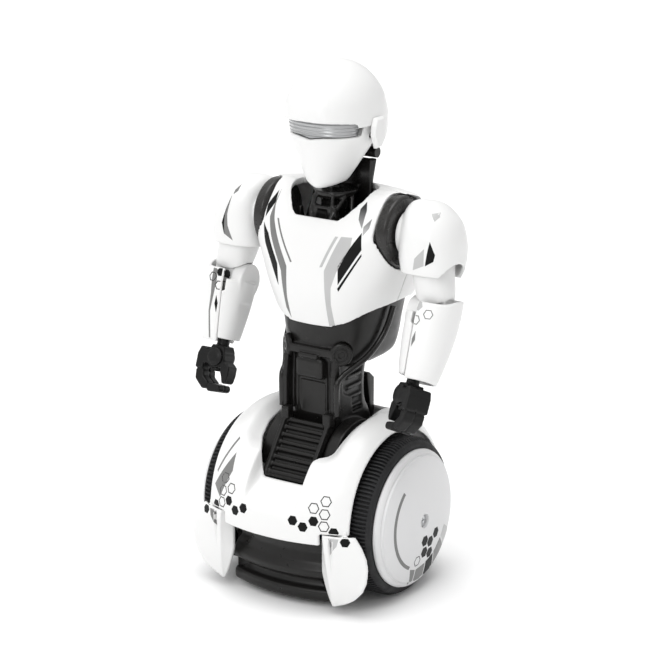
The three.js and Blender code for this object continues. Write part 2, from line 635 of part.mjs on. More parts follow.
function helmet() {
  const skullHollow = [[BRIM - 1, 25.6, -21.8, 40.4, 2.3],
    ...skullRows.slice(1, -1).map(([z, ...row]) => [z - 1.6, ...row])];
  const dome = cut(levelLoft(skullRows, 22), levelLoft(skullHollow, 22, 2));
  const napeHollow = [[237, 17.4, -10, 28.6, 2.2], ...napeRows.slice(1, -1),
    [BRIM + 1, 25.6, -21.8, 40.4, 2.3]];
  const front = block(-40, -40, 200, 40, HEAD_Y + 3, BRIM);
  const nape = cut(levelLoft(napeRows, 22), levelLoft(napeHollow, 22, 2), front);
  const browArch = plateY([[-23.4, 258], [-23.4, 264.6], [-22, 265.4], [-18, 266.2], [-10, 266.6],
    [0, 266.8], [10, 266.6], [18, 266.2], [22, 265.4], [23.4, 264.6], [23.4, 258]], -40, 1);
  const napeEdge = plateX([[11, 230], [11, 249.6], [18, 249.6], [25, 247.4], [31, 243.8], [50, 243.8],
    [50, 230]], -40, 40);
  const lensRoom = levelLoft([[250, 23, -16.6, 18, 2.3], [VISOR_TOP + GAP, 23, -16.6, 18, 2.3]], 24);
  place('helmet_shell', cut(join(dome, nape), browArch, lensRoom, napeEdge), WHITE);
}

const EAR = [10.2, 257];

function face() {
  const outer = levelLoft(faceRows, 24);
  const innerRows = [[230.4, 9.6, -11.8, 7, 2], ...faceRows.slice(2, -1), [BRIM + 1, 23.2, -17, 18, 2.3]];
  const inner = levelLoft(innerRows, 24, 2);
  const back = plateX([[11.6, BRIM + 1], [11.6, 252], [6, 246], [3, 242], [-1, 237.6], [-4.6, 232], [-6, 226],
    [60, 226], [60, BRIM + 1]], -40, 40);
  const slot = plateY([...visorEdge, [30, BRIM + 1], [-30, BRIM + 1]], -30, 3);
  const earRoom = rod('x', 1.9, -30, 30, EAR, 16);
  place('face_mask', cut(outer, inner, back, slot, earRoom), WHITE);
  const lensRow = [22.6, -16.2, 18, 2.3];
  const lensOuter = levelLoft([[250, ...lensRow], [VISOR_TOP, ...lensRow]], 24);
  const lensInner = levelLoft([[249, ...lensRow], [VISOR_TOP + 1, ...lensRow]], 24, 1.8);
  const chinRoom = plateY([[-30, 240], ...visorEdge.map(([x, z]) => [x, z + GAP]), [30, 240]], -30, 10);
  place('visor', cut(lensOuter, lensInner, block(-40, 2.6, 240, 40, 40, 280), chinRoom), SILVER);
}

function headInside() {
  const middle = levelLoft([[236, 7, 2, 16, 2.4], [240.6, 8.6, 0.6, 17.4, 2.4], [243.4, 13, -5, 25, 2.4],
    [248, 14.3, -7.6, 28, 2.4], [262, 15.6, -8, 29, 2.4], [272, 9, -2, 20, 2.4]], 20);
  const earBar = rod('x', 1.5, -22.8, 22.8, EAR, 12);
  const knobs = rod('x', 3, -18.8, 18.8, [22.4, 244.4], 16);
  const pinHole = rod('z', 3.1, 231, 244, [0, HEAD_Y], 16);
  place('head_core', cut(join(middle, earBar, knobs), pinHole), BLACK);
  const cap = plateX([[4, 258], [4.6, 263], [6.6, 267.2], [14.4, 267], [15.2, 257], [12, 250.4], [7.4, 250]],
    26, 28.8);
  const stem = rod('x', 1.5, 23.2, 26.4, EAR, 12);
  sides.forEach(([side, sign]) => place(`ear_cap_${side}`, forSide(join(cap, stem), sign), WHITE));
}

// ---- arms ---------------------------------------------------------------------------------
// each piece is drawn for the left arm hanging straight down, with its own joint at the origin
// [height, inner x, outer x, half depth, squareness]
const shoulderRows = [
  [-21, -18.6, 13, 15.6, 2.5],
  [-12, -20.8, 14, 17.8, 2.5],
  [-2, -21.4, 13.2, 19, 2.4],
  [7, -21.2, 10.4, 18, 2.3],
  [13, -20.4, 6, 15, 2.3],
  [17.4, -18, 0.6, 10.6, 2.2],
  [19.6, -13, -5, 5, 2],
];
const CAP_Y = 1.2;

function shoulderLoft(rows, inset) {
  return loft(rows.map(([z, xi, xo, half, n]) => (
    levelRing(z, (xo - xi) / 2, CAP_Y - half, CAP_Y + half, n, 22, inset, (xi + xo) / 2))));
}

function shoulderCap() {
  const outer = shoulderLoft(shoulderRows, 0);
  const inner = shoulderLoft([[-22, ...shoulderRows[0].slice(1)], ...shoulderRows.slice(1, 5),
    [15.6, -18, 0.6, 10.6, 2.2]], 2);
  const hub = rod('x', 13, -21, -15.8, [0, 0], 28);
  const spindle = rod('x', 6, -26.8, -17, [0, 0], 20);
  const arch = plateX([[-11.4, -30], [-10.4, -20], [-7, -15], [-2, -12.8], [4, -12.8], [9.4, -15], [13, -20],
    [14, -30]], 2, 20);
  return join(cut(outer, inner, arch), hub, spindle);
}

const CHEEK_RADIUS = 9.9;
const TONGUE = { inner: -2.6, outer: 4.6 };

function upperArm() {
  const sleeve = loft([[-6, 9.6, -10, 12, -3.2], [-12, 10.4, -11.2, 12.8, -2.2],
    [-21, 10.8, -11.4, 12.4, -0.9], [-28, 10.8, -10.2, 11, 0.8], [-34, 10.2, -8.6, 9.2, 2],
    [-38.4, 9.8, -7.8, 8.8, 2.2]]
    .map(([z, a, yf, yb, xc]) => levelRing(z, a, yf, yb, 2.4, 22, 0, xc)));
  const elbowRoom = rod('x', CHEEK_RADIUS + GAP, -30, 30, [0, -ELBOW_DROP], 28);
  const hubRoom = rod('x', 13.4, -26, -15.4, [0, 0], 28);
  const tongue = join(rod('x', 6.4, TONGUE.inner, TONGUE.outer, [0, -ELBOW_DROP], 20),
    block(TONGUE.inner, -6.4, -ELBOW_DROP, TONGUE.outer, 6.4, -30));
  const cheek = rod('x', 8, 7.4, 11, [0, -ELBOW_DROP], 24);
  const cheekStem = block(7.4, -5, -ELBOW_DROP, 11, 5, -30);
  return join(cut(sleeve, elbowRoom, hubRoom), tongue, cheek, cheekStem);
}

// the forearm's outer form, shared by the guard outside and the core inside
const forearmRows = [
  [-37, 10.4, -9.6, 9.6, 2.4],
  [-27, 12.2, -11.4, 11, 2.4],
  [-13, 13.8, -13.6, 12.8, 2.4],
  [-1, 14.2, -15, 14, 2.3],
  [11, 13.6, -13.8, 13.4, 2.2],
  [18, 11.2, -11, 11, 2.2],
];
const FOREARM_X = 2.6;
const GUARD_EDGE_X = -1;

function forearmCore() {
  const full = levelLoft(forearmRows, 20, 0, FOREARM_X);
  const filling = levelLoft([[-34, 10.4, -9.6, 9.6, 2.4], ...forearmRows.slice(1, 3),
    [-5, 14, -14.4, 13.4, 2.3]], 20, 2.6, FOREARM_X);
  const innerSide = full.intersect(block(-30, -30, -35, GUARD_EDGE_X - GAP, 30, -1));
  const step = block(-30, -30, -36, -9, 30, -12.6);
  const cheeks = rod('x', CHEEK_RADIUS, -10.4, 7, [0, 0], 28);
  const slot = block(TONGUE.inner - GAP, -30, -8, TONGUE.outer + GAP, 30, 30);
  const slotFoot = rod('x', 7.2, TONGUE.inner - GAP, TONGUE.outer + GAP, [0, 0], 20);
  const armRoom = rod('x', 10.3, 7.05, 20, [0, 0], 28);
  const wristHole = rod('z', 3.95, -38, -29.4, [0, 0], 20);
  return cut(join(filling, cut(innerSide, step), cheeks), slot, slotFoot, armRoom, wristHole);
}

function forearmGuard() {
  const outer = levelLoft(forearmRows, 20, 0, FOREARM_X);
  const innerRows = [[-38, 10.4, -9.6, 9.6, 2.4], ...forearmRows.slice(1, -1), [19, 11.2, -11, 11, 2.2]];
  const inner = levelLoft(innerRows, 20, 1.9, FOREARM_X);
  const topSlope = plateX([[-30, 3.4], [-12.6, 4.8], [-4, 8.4], [0, 9.8], [14, 12.6], [30, 12.6], [30, 30],
    [-30, 30]], -30, 30);
  return cut(outer, inner, topSlope, block(-30, -30, -60, GUARD_EDGE_X, 30, 20));
}

function palm() {
  const wrist = rod('z', 3.6, -3, 7.6, [0, 0], 16);
  const body = rod('y', 6.2, -5.6, 5.6, [0, -KNUCKLE_DROP], 24);
  const pad = block(-5, -5.6, -KNUCKLE_DROP - 3, 4, 5.6, -1.6);
  const thumb = plateY([[-4.4, -10.5], [-6, -9.6], [-10, -13], [-9.8, -18], [-8.6, -22.6],
    [-6.6, -22.6], [-4.4, -18]], -4.6, 4.6);
  return join(wrist, body, pad, thumb);
}

// the fingers hinge on the knuckle: a round strap on each side of the palm carries them
function fingers() {
  const proximal = plateY([[6.8, -4], [10, -4], [11.4, -9], [11, -16.5], [5.8, -16.5], [6.8, -10]],
    -7.4, 7.4);
  const middle = plateY([[5.8, -16.2], [11, -16.2], [10.2, -23], [4.4, -28], [0.6, -26.5], [1.6, -22.8],
    [5.4, -19.8]], -6.4, 6.4);
  const tip = plateY([[1, -26.6], [4.2, -27.9], [3.2, -28.6], [-6, -27.9], [-7.2, -26], [-6.2, -23.9],
    [1.7, -23]], -6.4, 6.4);
  const straps = [[-7.4, -6], [6, 7.4]].flatMap(([y0, y1]) => [
    rod('y', 5.2, y0, y1, [0, -KNUCKLE_DROP], 24),
    plateY([[0, -5], [8, -5], [8, -12.6], [0, -12.6]], y0, y1),
  ]);
  return join(proximal, middle, tip, ...straps);
}

function arms() {
  const pieces = { cap: shoulderCap(), upper: upperArm(), core: forearmCore(), guard: forearmGuard(),
    palm: palm(), fingers: fingers() };
  sides.forEach(([side, sign]) => {
    const pose = ARM_POSE[side];
    const shoulder = new THREE.Group();
    shoulder.position.set(sign * SHOULDER.x, SHOULDER.y, SHOULDER.z);
    shoulder.rotation.x = -THREE.MathUtils.degToRad(pose.shoulder);
    const elbow = new THREE.Group();
    elbow.position.set(0, 0, -ELBOW_DROP);
    elbow.rotation.x = -THREE.MathUtils.degToRad(pose.elbow);
    const wrist = new THREE.Group();
    wrist.position.set(0, 0, -WRIST_DROP - 0.4);
    wrist.rotation.z = THREE.MathUtils.degToRad(pose.wrist);
    robot.add(shoulder);
    shoulder.add(elbow);
    elbow.add(wrist);
    place(`shoulder_cap_${side}`, forSide(pieces.cap, sign), WHITE, shoulder);
    place(`upper_arm_${side}`, forSide(pieces.upper, sign), WHITE, shoulder);
    place(`forearm_core_${side}`, forSide(pieces.core, sign), WHITE, elbow);
    place(`forearm_guard_${side}`, forSide(pieces.guard, sign), WHITE, elbow);
    place(`palm_${side}`, forSide(pieces.palm, sign), BLACK, wrist);
    place(`fingers_${side}`, forSide(pieces.fingers, sign), BLACK, wrist);
  });
}

shells();
skirts();
chassisTray();
battery();
drive();
electronics();
rollers();
bumpers();
wheels();
ribbedApron();
waistFrame();
waistDetails();
torsoShells();
torsoInside();
helmet();
face();
headInside();
arms();

export default robot;
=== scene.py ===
# Looks of a toy robot with a human-like upper body on a two-wheeled base.
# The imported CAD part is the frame. Sizes are in millimetres and become metres when a mesh is made.
# The robot faces -Y, its own left side is +X, and angles are in degrees.
import json
import math

import bpy
import bmesh
import numpy as np
from mathutils import Matrix, Vector
from mathutils.bvhtree import BVHTree
from mathutils.geometry import delaunay_2d_cdt


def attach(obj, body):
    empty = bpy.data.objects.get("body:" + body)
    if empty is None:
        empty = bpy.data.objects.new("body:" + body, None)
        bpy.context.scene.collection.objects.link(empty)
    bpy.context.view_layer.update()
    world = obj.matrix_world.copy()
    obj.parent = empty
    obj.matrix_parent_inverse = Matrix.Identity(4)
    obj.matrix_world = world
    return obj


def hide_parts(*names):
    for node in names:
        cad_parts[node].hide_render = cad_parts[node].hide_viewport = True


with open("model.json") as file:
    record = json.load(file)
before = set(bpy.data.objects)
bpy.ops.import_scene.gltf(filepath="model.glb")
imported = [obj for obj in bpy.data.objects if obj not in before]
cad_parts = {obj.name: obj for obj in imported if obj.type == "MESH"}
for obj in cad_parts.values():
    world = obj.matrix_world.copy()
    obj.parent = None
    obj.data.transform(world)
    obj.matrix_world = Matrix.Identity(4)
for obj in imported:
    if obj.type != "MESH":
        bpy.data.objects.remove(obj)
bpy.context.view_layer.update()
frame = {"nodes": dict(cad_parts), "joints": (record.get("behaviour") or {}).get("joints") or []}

MM = 0.001
SIDES = [("left", 1), ("right", -1)]
JOINTS = {joint["name"]: joint for joint in frame["joints"]}

# ---- driving dimensions -------------------------------------------------------------------
AXLE_Z = 45.0
SHELL_HALF_WIDTH = 46.6
SHELL_EDGE_RADIUS = 48.6
SHELL_THICKNESS = 2.0
SHELL_SPLIT_Y = 6.0
SEAM = 0.35
WELL_WALL_X = 34.5
SKIRT_TOP = 47.4
SKIRT_FOOT = 4.6
TORSO_SPLIT_Y = 14.0
SHOULDER_Z = 205.2
SHOULDER_Y = 11.0
HEAD_Y = 9.0
BRIM = 263.0
RIM_RADIUS = 39.4
FINE_VOXEL = 0.55
COARSE_VOXEL = 0.7
HAND_VOXEL = 0.42


# ---- building solids ----------------------------------------------------------------------
def solid(verts, faces, name="solid"):
    mesh = bpy.data.meshes.new(name)
    mesh.from_pydata([tuple(float(c) * MM for c in v) for v in verts], [], faces)
    work = bmesh.new()
    work.from_mesh(mesh)
    bmesh.ops.remove_doubles(work, verts=work.verts, dist=1e-7)
    bmesh.ops.recalc_face_normals(work, faces=work.faces)
    work.to_mesh(mesh)
    work.free()
    obj = bpy.data.objects.new(name, mesh)
    bpy.context.scene.collection.objects.link(obj)
    return obj


def bake_modifiers(obj):
    """Puts the result of an object's modifiers into its mesh."""
    graph = bpy.context.evaluated_depsgraph_get()
    mesh = bpy.data.meshes.new_from_object(obj.evaluated_get(graph))
    obj.modifiers.clear()
    old = obj.data
    obj.data = mesh
    bpy.data.meshes.remove(old)
    return obj


def discard(obj):
    mesh = obj.data
    bpy.data.objects.remove(obj)
    bpy.data.meshes.remove(mesh)


def combine(body, operation, tools):
    for tool in tools:
        modifier = body.modifiers.new("boolean", "BOOLEAN")
        modifier.operation = operation
        modifier.solver = "MANIFOLD"
        modifier.object = tool
        bake_modifiers(body)
        discard(tool)
    return body


def cut(body, *tools):
    return combine(body, "DIFFERENCE", tools)


def join(body, *tools):
    return combine(body, "UNION", tools)


def keep(body, *tools):
    return combine(body, "INTERSECT", tools)


def copy(obj):
    twin = obj.copy()
    twin.data = obj.data.copy()
    bpy.context.scene.collection.objects.link(twin)
    return twin


def mirrored(obj):
    """A copy of the object on the other side of the X = 0 plane."""
    twin = copy(obj)
    twin.data.transform(Matrix.Scale(-1, 4, Vector((1, 0, 0))))
    twin.data.flip_normals()
    return twin


def both(obj):
    return join(obj, mirrored(obj))


def moved(obj, matrix):
    obj.data.transform(matrix)
    return obj


def skin(rings, wrap=False):
    """Points and faces of a skin through rings. With wrap, the last ring joins the first."""
    count = len(rings[0])
    faces = []
    for i in range(len(rings) if wrap else len(rings) - 1):
        here = i * count
        on = (i + 1) % len(rings) * count
        faces += [(here + j, here + (j + 1) % count, on + (j + 1) % count, on + j) for j in range(count)]
    return [point for ring in rings for point in ring], faces


def loft(rings):
    """A closed skin through rings of points, with a flat face at each end."""
    verts, faces = skin(rings)
    count = len(rings[0])
    faces.append(tuple(range(count))[::-1])
    faces.append(tuple(range(len(verts) - count, len(verts))))
    return solid(verts, faces)


def refine(rows, steps=6):
    """Rows of numbers with a smooth curve of extra rows between them."""
    rows = [np.array(row, float) for row in rows]
    last = len(rows) - 1
    fine = []
    for i in range(last):
        p0, p1, p2, p3 = rows[max(i - 1, 0)], rows[i], rows[i + 1], rows[min(i + 2, last)]
        for k in range(steps):
            t = k / steps
            fine.append(0.5 * (2 * p1 + (p2 - p0) * t + (2 * p0 - 5 * p1 + 4 * p2 - p3) * t ** 2
                               + (3 * p1 - p0 - 3 * p2 + p3) * t ** 3))
    fine.append(rows[last])
    return fine


def curve(points, steps=4):
    return [tuple(p) for p in refine(points, steps)]


def power(value, exponent):
    return math.copysign(abs(value) ** exponent, value)


def level_ring(z, half_width, front, back, squareness, sides, inset=0.0, centre_x=0.0):
    ring = []
    for i in range(sides):
        t = 2 * math.pi * i / sides
        x = power(math.cos(t), 2 / squareness) * (half_width - inset)
        y = power(math.sin(t), 2 / squareness) * ((back - front) / 2 - inset)
        ring.append((centre_x + x, (front + back) / 2 + y, z))
    return ring


def level_loft(rows, sides=96, inset=0.0, centre_x=0.0, steps=6):
    return loft([level_ring(*row, sides, inset, centre_x) for row in refine(rows, steps)])




def turn_axis(points, axis):
    """Points drawn as (first, second, along) are put in place for a piece that runs along an axis."""
    if axis == "x":
        return [(h, a, b) for a, b, h in points]
    if axis == "y":
        return [(a, h, b) for a, b, h in points]
    return points


def prism(outline, axis, low, high):
    """An outline pushed along an axis: [y, z] along x, [x, z] along y or [x, y] along z."""
    rings = [turn_axis([(a, b, h) for a, b in outline], axis) for h in (low, high)]
    return loft(rings)


def block(x0, y0, z0, x1, y1, z1):
    return prism([(x0, y0), (x1, y0), (x1, y1), (x0, y1)], "z", z0, z1)


def circle(radius, centre=(0, 0), sides=64, start=0.0, end=360.0):
    steps = sides if end - start >= 360 else sides + 1
    span = math.radians(end - start)
    first = math.radians(start)
    return [(centre[0] + radius * math.cos(first + span * i / sides),
             centre[1] + radius * math.sin(first + span * i / sides)) for i in range(steps)]


def rod(axis, radius, low, high, centre, sides=64):
    return prism(circle(radius, centre, sides), axis, low, high)


def turned(axis, profile, centre, sides=96):
    """A turned piece from a closed profile of (radius, position along the axis)."""
    rings = []
    for i in range(sides):
        t = 2 * math.pi * i / sides
        ring = [(centre[0] + r * math.cos(t), centre[1] + r * math.sin(t), h) for r, h in profile]
        rings.append(turn_axis(ring, axis))
    made = solid(*skin(rings, wrap=True))
    work = bmesh.new()
    work.from_mesh(made.data)
    bmesh.ops.dissolve_degenerate(work, edges=work.edges, dist=1e-8)
    bmesh.ops.recalc_face_normals(work, faces=work.faces)
    work.to_mesh(made.data)
    work.free()
    return made


def rounded(profile, radius, steps=4):
    """A closed profile whose corners are rounded, except those on the axis."""
    points = [Vector(p) for p in profile]
    count = len(points)
    fine = []
    for i in range(count):
        before, here, after = points[i - 1], points[i], points[(i + 1) % count]
        back = before - here
        on = after - here
        reach = min(radius, back.length * 0.45, on.length * 0.45)
        if here.x < 1e-6 or reach < 1e-3:
            fine.append(tuple(here))
            continue
        start = here + back.normalized() * reach
        end = here + on.normalized() * reach
        for k in range(steps + 1):
            t = k / steps
            fine.append(tuple(start * (1 - t) ** 2 + here * 2 * t * (1 - t) + end * t ** 2))
    return fine


def bar(points, radius, sides=16, steps=10):
    """A round bar along a smooth curve through points."""
    path = [Vector(p) for p in refine(points, steps)]
    rings = []
    side = None
    for i, here in enumerate(path):
        ahead = (path[min(i + 1, len(path) - 1)] - path[max(i - 1, 0)]).normalized()
        if side is None:
            side = ahead.orthogonal().normalized()
        side = (side - ahead * side.dot(ahead)).normalized()
        up = ahead.cross(side)
        rings.append([tuple(here + (side * math.cos(t) + up * math.sin(t)) * radius)
                      for t in (2 * math.pi * k / sides for k in range(sides))])
    return loft(rings)


def mould(obj, voxel=FINE_VOXEL, passes=5):
    """Rounds every edge slightly, as an injection mould does."""
    remesh = obj.modifiers.new("mould", "REMESH")
    remesh.mode = "VOXEL"
    remesh.voxel_size = voxel * MM
    remesh.use_smooth_shade = True
    relax = obj.modifiers.new("relax", "SMOOTH")
    relax.factor = 0.5
    relax.iterations = passes
    return bake_modifiers(obj)


def bevelled(obj, width=0.5, segments=3, angle=32):
    """Rounds the sharp edges of a piece made of a few flat faces."""
    bevel = obj.modifiers.new("bevel", "BEVEL")
    bevel.width = width * MM
    bevel.segments = segments
    bevel.limit_method = "ANGLE"
    bevel.angle_limit = math.radians(angle)
    bake_modifiers(obj)
    return smooth(obj)


def smooth(obj, angle=38):
    obj.data.shade_smooth()
    obj.data.set_sharp_from_angle(angle=math.radians(angle))
    return obj


# ---- materials ----------------------------------------------------------------------------
def node(tree, kind, place, **values):
    made = tree.nodes.new(kind)
    made.location = place
    for key, value in values.items():
        setattr(made, key, value)
    return made


def noise(tree, coordinates, size_mm, detail, place):
    """Noise whose features are about size_mm across."""
    made = node(tree, "ShaderNodeTexNoise", place)
    made.inputs["Scale"].default_value = 1 / (size_mm * MM)
    made.inputs["Detail"].default_value = detail
    tree.links.new(coordinates, made.inputs["Vector"])
    return made.outputs["Fac"]


def spread(tree, value, low, high, place, start=0.3, end=0.7):
    """Maps a value between start and end onto low to high."""
    made = node(tree, "ShaderNodeMapRange", place)
    for name, number in (("From Min", start), ("From Max", end), ("To Min", low), ("To Max", high)):
        made.inputs[name].default_value = number
    tree.links.new(value, made.inputs["Value"])
    return made.outputs["Result"]


def mixed(tree, factor, first, second, place):
    made = node(tree, "ShaderNodeMix", place, data_type="RGBA")
    made.inputs[6].default_value = (*first, 1)
    made.inputs[7].default_value = (*second, 1)
    tree.links.new(factor, made.inputs[0])
    return made.outputs[2]


def moulded_material(name, colour, roughness, tone=0.03, grain_mm=0.35, grain=0.06, gloss_spread=0.05,
                     metallic=0.0, coat=0.0, shine=0.5):
    """Moulded or painted plastic: cloudy tone, uneven gloss and the fine grain of the tool."""
    material = bpy.data.materials.new(name)
    material.use_nodes = True
    tree = material.node_tree
    shader = tree.nodes["Principled BSDF"]
    coordinates = node(tree, "ShaderNodeTexCoord", (-1200, 0)).outputs["Object"]
    cloud = noise(tree, coordinates, 22, 3, (-1000, 200))
    dark = [c * (1 - tone) for c in colour]
    light = [min(1, c * (1 + tone)) for c in colour]
    shade = mixed(tree, spread(tree, cloud, 0, 1, (-780, 200)), dark, light, (-500, 200))
    tree.links.new(shade, shader.inputs["Base Color"])
    smudge = noise(tree, coordinates, 6, 4, (-1000, -50))
    low, high = roughness - gloss_spread, roughness + gloss_spread
    tree.links.new(spread(tree, smudge, low, high, (-780, -50)), shader.inputs["Roughness"])
    bump = node(tree, "ShaderNodeBump", (-300, -300))
    bump.inputs["Strength"].default_value = grain
    bump.inputs["Distance"].default_value = 0.0001
    tree.links.new(noise(tree, coordinates, grain_mm, 2, (-1000, -300)), bump.inputs["Height"])
    tree.links.new(bump.outputs["Normal"], shader.inputs["Normal"])
    for key, value in (("Metallic", metallic), ("Specular IOR Level", shine), ("Coat Weight", coat),
                       ("Coat Roughness", 0.12)):
        shader.inputs[key].default_value = value
    return material


def graded_material(name, dark, light, low_mm, high_mm, roughness=0.3):
    """Printed film that fades from dark to light between two heights."""
    material = moulded_material(name, light, roughness, tone=0.02)
    tree = material.node_tree
    shader = tree.nodes["Principled BSDF"]
    coordinates = node(tree, "ShaderNodeTexCoord", (-1200, 600)).outputs["Object"]
    parts = node(tree, "ShaderNodeSeparateXYZ", (-1000, 600))
    tree.links.new(coordinates, parts.inputs[0])
    ramp = spread(tree, parts.outputs["Z"], 0, 1, (-780, 600), low_mm * MM, high_mm * MM)
    shade = mixed(tree, ramp, light, dark, (-400, 600))
    tree.links.new(shade, shader.inputs["Base Color"])
    return material


WHITE = moulded_material("white_plastic", (0.79, 0.79, 0.785), 0.3, tone=0.004, grain=0.03,
                         gloss_spread=0.02)
# The hubcaps are the same white plastic as the shell, greyed as painted shade for their side that faces
# away from the lamps.
HUBCAP_WHITE_PAINTED_SHADE = moulded_material("white_hubcap_painted_shade", (0.68, 0.68, 0.685), 0.34, tone=0.006, grain=0.03,
                             gloss_spread=0.02)
# A rougher matt copy of the white plastic. The roughness is real, but its slightly darker colour is painted
# shade, for the forearm's inner core and the wheel hub.
MATT_WHITE_PAINTED_SHADE = moulded_material("white_plastic_matt_painted_shade", (0.76, 0.76, 0.755), 0.42, tone=0.008, grain=0.08,
                               gloss_spread=0.03)
BLACK = moulded_material("black_plastic", (0.009, 0.0085, 0.008), 0.34, tone=0.18, grain=0.22,
                         gloss_spread=0.07, shine=0.3)
GLOSS_BLACK = moulded_material("black_gloss", (0.010, 0.0095, 0.009), 0.2, tone=0.15, grain=0.05,
                               shine=0.35)
SOCKET = moulded_material("dark_grey_plastic", (0.020, 0.019, 0.018), 0.28, tone=0.12, grain=0.08,
                          shine=0.4)
HAND = moulded_material("hand_plastic", (0.008, 0.008, 0.008), 0.38, tone=0.15, grain=0.2, shine=0.22)
RUBBER = moulded_material("tyre_rubber", (0.013, 0.013, 0.014), 0.6, tone=0.25, grain=0.5, grain_mm=0.5,
                          gloss_spread=0.1, shine=0.3)
STEEL = moulded_material("plated_steel", (0.62, 0.63, 0.64), 0.28, tone=0.05, grain=0.05, metallic=1.0)
GREY = moulded_material("grey_plastic", (0.26, 0.27, 0.28), 0.5, tone=0.06, grain=0.2)
BOARD = moulded_material("circuit_board", (0.02, 0.14, 0.06), 0.4, tone=0.2, grain=0.2)
CELL = moulded_material("cell_wrap", (0.05, 0.16, 0.42), 0.35, tone=0.08, metallic=0.3)
VISOR = moulded_material("visor_film", (0.4, 0.405, 0.41), 0.2, tone=0.1, grain=0.03, metallic=0.45,
                         coat=0.5)
INK_BLACK = moulded_material("ink_black", (0.004, 0.004, 0.004), 0.42, tone=0.1, grain=0.03, shine=0.15)
INK_GREY = moulded_material("ink_grey", (0.17, 0.17, 0.167), 0.34, tone=0.08, grain=0.05)
INK_SILVER = moulded_material("ink_silver", (0.47, 0.47, 0.47), 0.34, tone=0.05, grain=0.05)
INK_FADE = graded_material("ink_fade", (0.012, 0.012, 0.013), (0.5, 0.5, 0.5), 204, 219)


def finish_piece(obj, name, body, material, replaces=()):
    """Names a piece, gives it its material and ties it to the frame."""
    obj.name = name
    obj.data.name = name
    obj.data.materials.clear()
    obj.data.materials.append(material)
    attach(obj, body)
    if replaces:
        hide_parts(*replaces)
    return obj


def finish_pair(piece, name, body, material, node_name):
    """The piece as it is on the robot's left side, and its mirror image on the right."""
    for side, sign in SIDES:
        made = piece if sign > 0 else mirrored(piece)
        finish_piece(made, f"{name}_{side}", body, material, [f"{node_name}_{side}"])


# ---- printed decals -----------------------------------------------------------------------
def surface_of(*pieces):
    verts = []
    faces = []
    for piece in pieces:
        first = len(verts)
        verts += [vert.co for vert in piece.data.vertices]
        faces += [[first + i for i in face.vertices] for face in piece.data.polygons]
    return BVHTree.FromPolygons(verts, faces)


def subdivided(outline, step):
    fine = []
    for i, here in enumerate(outline):
        after = outline[(i + 1) % len(outline)]
        parts = max(1, int(math.dist(here, after) / step))
        fine += [(here[0] + (after[0] - here[0]) * k / parts, here[1] + (after[1] - here[1]) * k / parts)
                 for k in range(parts)]
    return fine


def inside(point, outline):
    hit = False
    for (ax, ay), (bx, by) in zip(outline, outline[1:] + outline[:1]):
        if (ay > point[1]) != (by > point[1]):
            if point[0] < (bx - ax) * (point[1] - ay) / (by - ay) + ax:
                hit = not hit
    return hit


def filled(outline, step=0.9):
    """Points and triangles that fill an outline, fine enough to follow a curved surface."""
    edge = subdivided(outline, step)
    xs, ys = zip(*edge)
    grid = [(x, y) for x in np.arange(min(xs), max(xs), step) for y in np.arange(min(ys), max(ys), step)]
    middle = [p for p in grid if inside(p, edge) and min(math.dist(p, q) for q in edge) > step * 0.4]
    points = [Vector(p) for p in edge + middle]
    loops = [(i, (i + 1) % len(edge)) for i in range(len(edge))]
    verts, _, faces, *_ = delaunay_2d_cdt(points, loops, [], 1, 1e-6)
    return [tuple(v) for v in verts], [tuple(f) for f in faces]


def ringed(outline, width, step=0.9):
    """Points and faces of a stroke of that width, just inside an outline."""
    centre = (sum(p[0] for p in outline) / len(outline), sum(p[1] for p in outline) / len(outline))
    apothem = math.dist(centre, outline[0]) * math.cos(math.pi / len(outline))
    share = 1 - width / apothem
    outer = subdivided(outline, step)
    inner = [(centre[0] + (x - centre[0]) * share, centre[1] + (y - centre[1]) * share) for x, y in outer]
    count = len(outer)
    faces = [(i, (i + 1) % count, count + (i + 1) % count, count + i) for i in range(count)]
    return outer + inner, faces


def decal(name, surface, flat, origin, across, up, body, material, slot, lift=0.07, depth=0.25):
    """A thin print laid on a surface. flat is drawn in the plane of across and up through origin,
    and falls on the surface against their cross product."""
    points, faces = flat
    across = Vector(across).normalized()
    up = Vector(up).normalized()
    out = across.cross(up).normalized()
    top = []
    low = []
    for u, v in points:
        start = (Vector(origin) + across * u + up * v + out * 60) * MM
        place, normal, _, _ = surface.ray_cast(start, -out)
        if place is None:
            place, normal, _, _ = surface.find_nearest((Vector(origin) + across * u + up * v) * MM)
        if normal.dot(out) < 0:
            normal = -normal
        top.append(place / MM + normal * lift)
        low.append(place / MM + normal * (lift - depth))
    count = len(top)
    edges = {}
    for face in faces:
        for a, b in zip(face, face[1:] + face[:1]):
            key = (min(a, b), max(a, b))
            edges[key] = None if key in edges else (a, b)
    walls = [(a, b, b + count, a + count) for a, b in (e for e in edges.values() if e)]
    bottom = [tuple(i + count for i in reversed(face)) for face in faces]
    made = solid(top + low, list(faces) + bottom + walls)
    smooth(made, 30)
    return finish_piece(made, name, body, material)


def hexagon(radius):
    return circle(radius, sides=6, start=0, end=360)


def hexagon_at(name, surface, centre, body, look, radius=3.3, outlined=False, stroke=0.5):
    """A hexagon print on the surface in front of a place."""
    start = Vector((centre[0], centre[1] - 40, centre[2])) * MM
    place, normal, _, _ = surface.ray_cast(start, Vector((0, 1, 0)))
    across = Vector((0, 0, 1)).cross(normal).normalized()
    up = normal.cross(across)
    outline = hexagon(radius)
    flat = ringed(outline, stroke) if outlined else filled(outline)
    decal(name, surface, flat, place / MM, across, up, body, *look)


FRONT_VIEW = ((0, 0, 0), (1, 0, 0), (0, 0, 1))
LOOK_BLACK = (INK_BLACK, "black_frame")
LOOK_GREY = (INK_GREY, "grey_plastic")
LOOK_SILVER = (INK_SILVER, "grey_plastic")
LOOK_FADE = (INK_FADE, "grey_plastic")


# ---- base shell ---------------------------------------------------------------------------
def ease(t):
    s = min(1.0, max(0.0, t))
    return s * s * (3 - 2 * s)


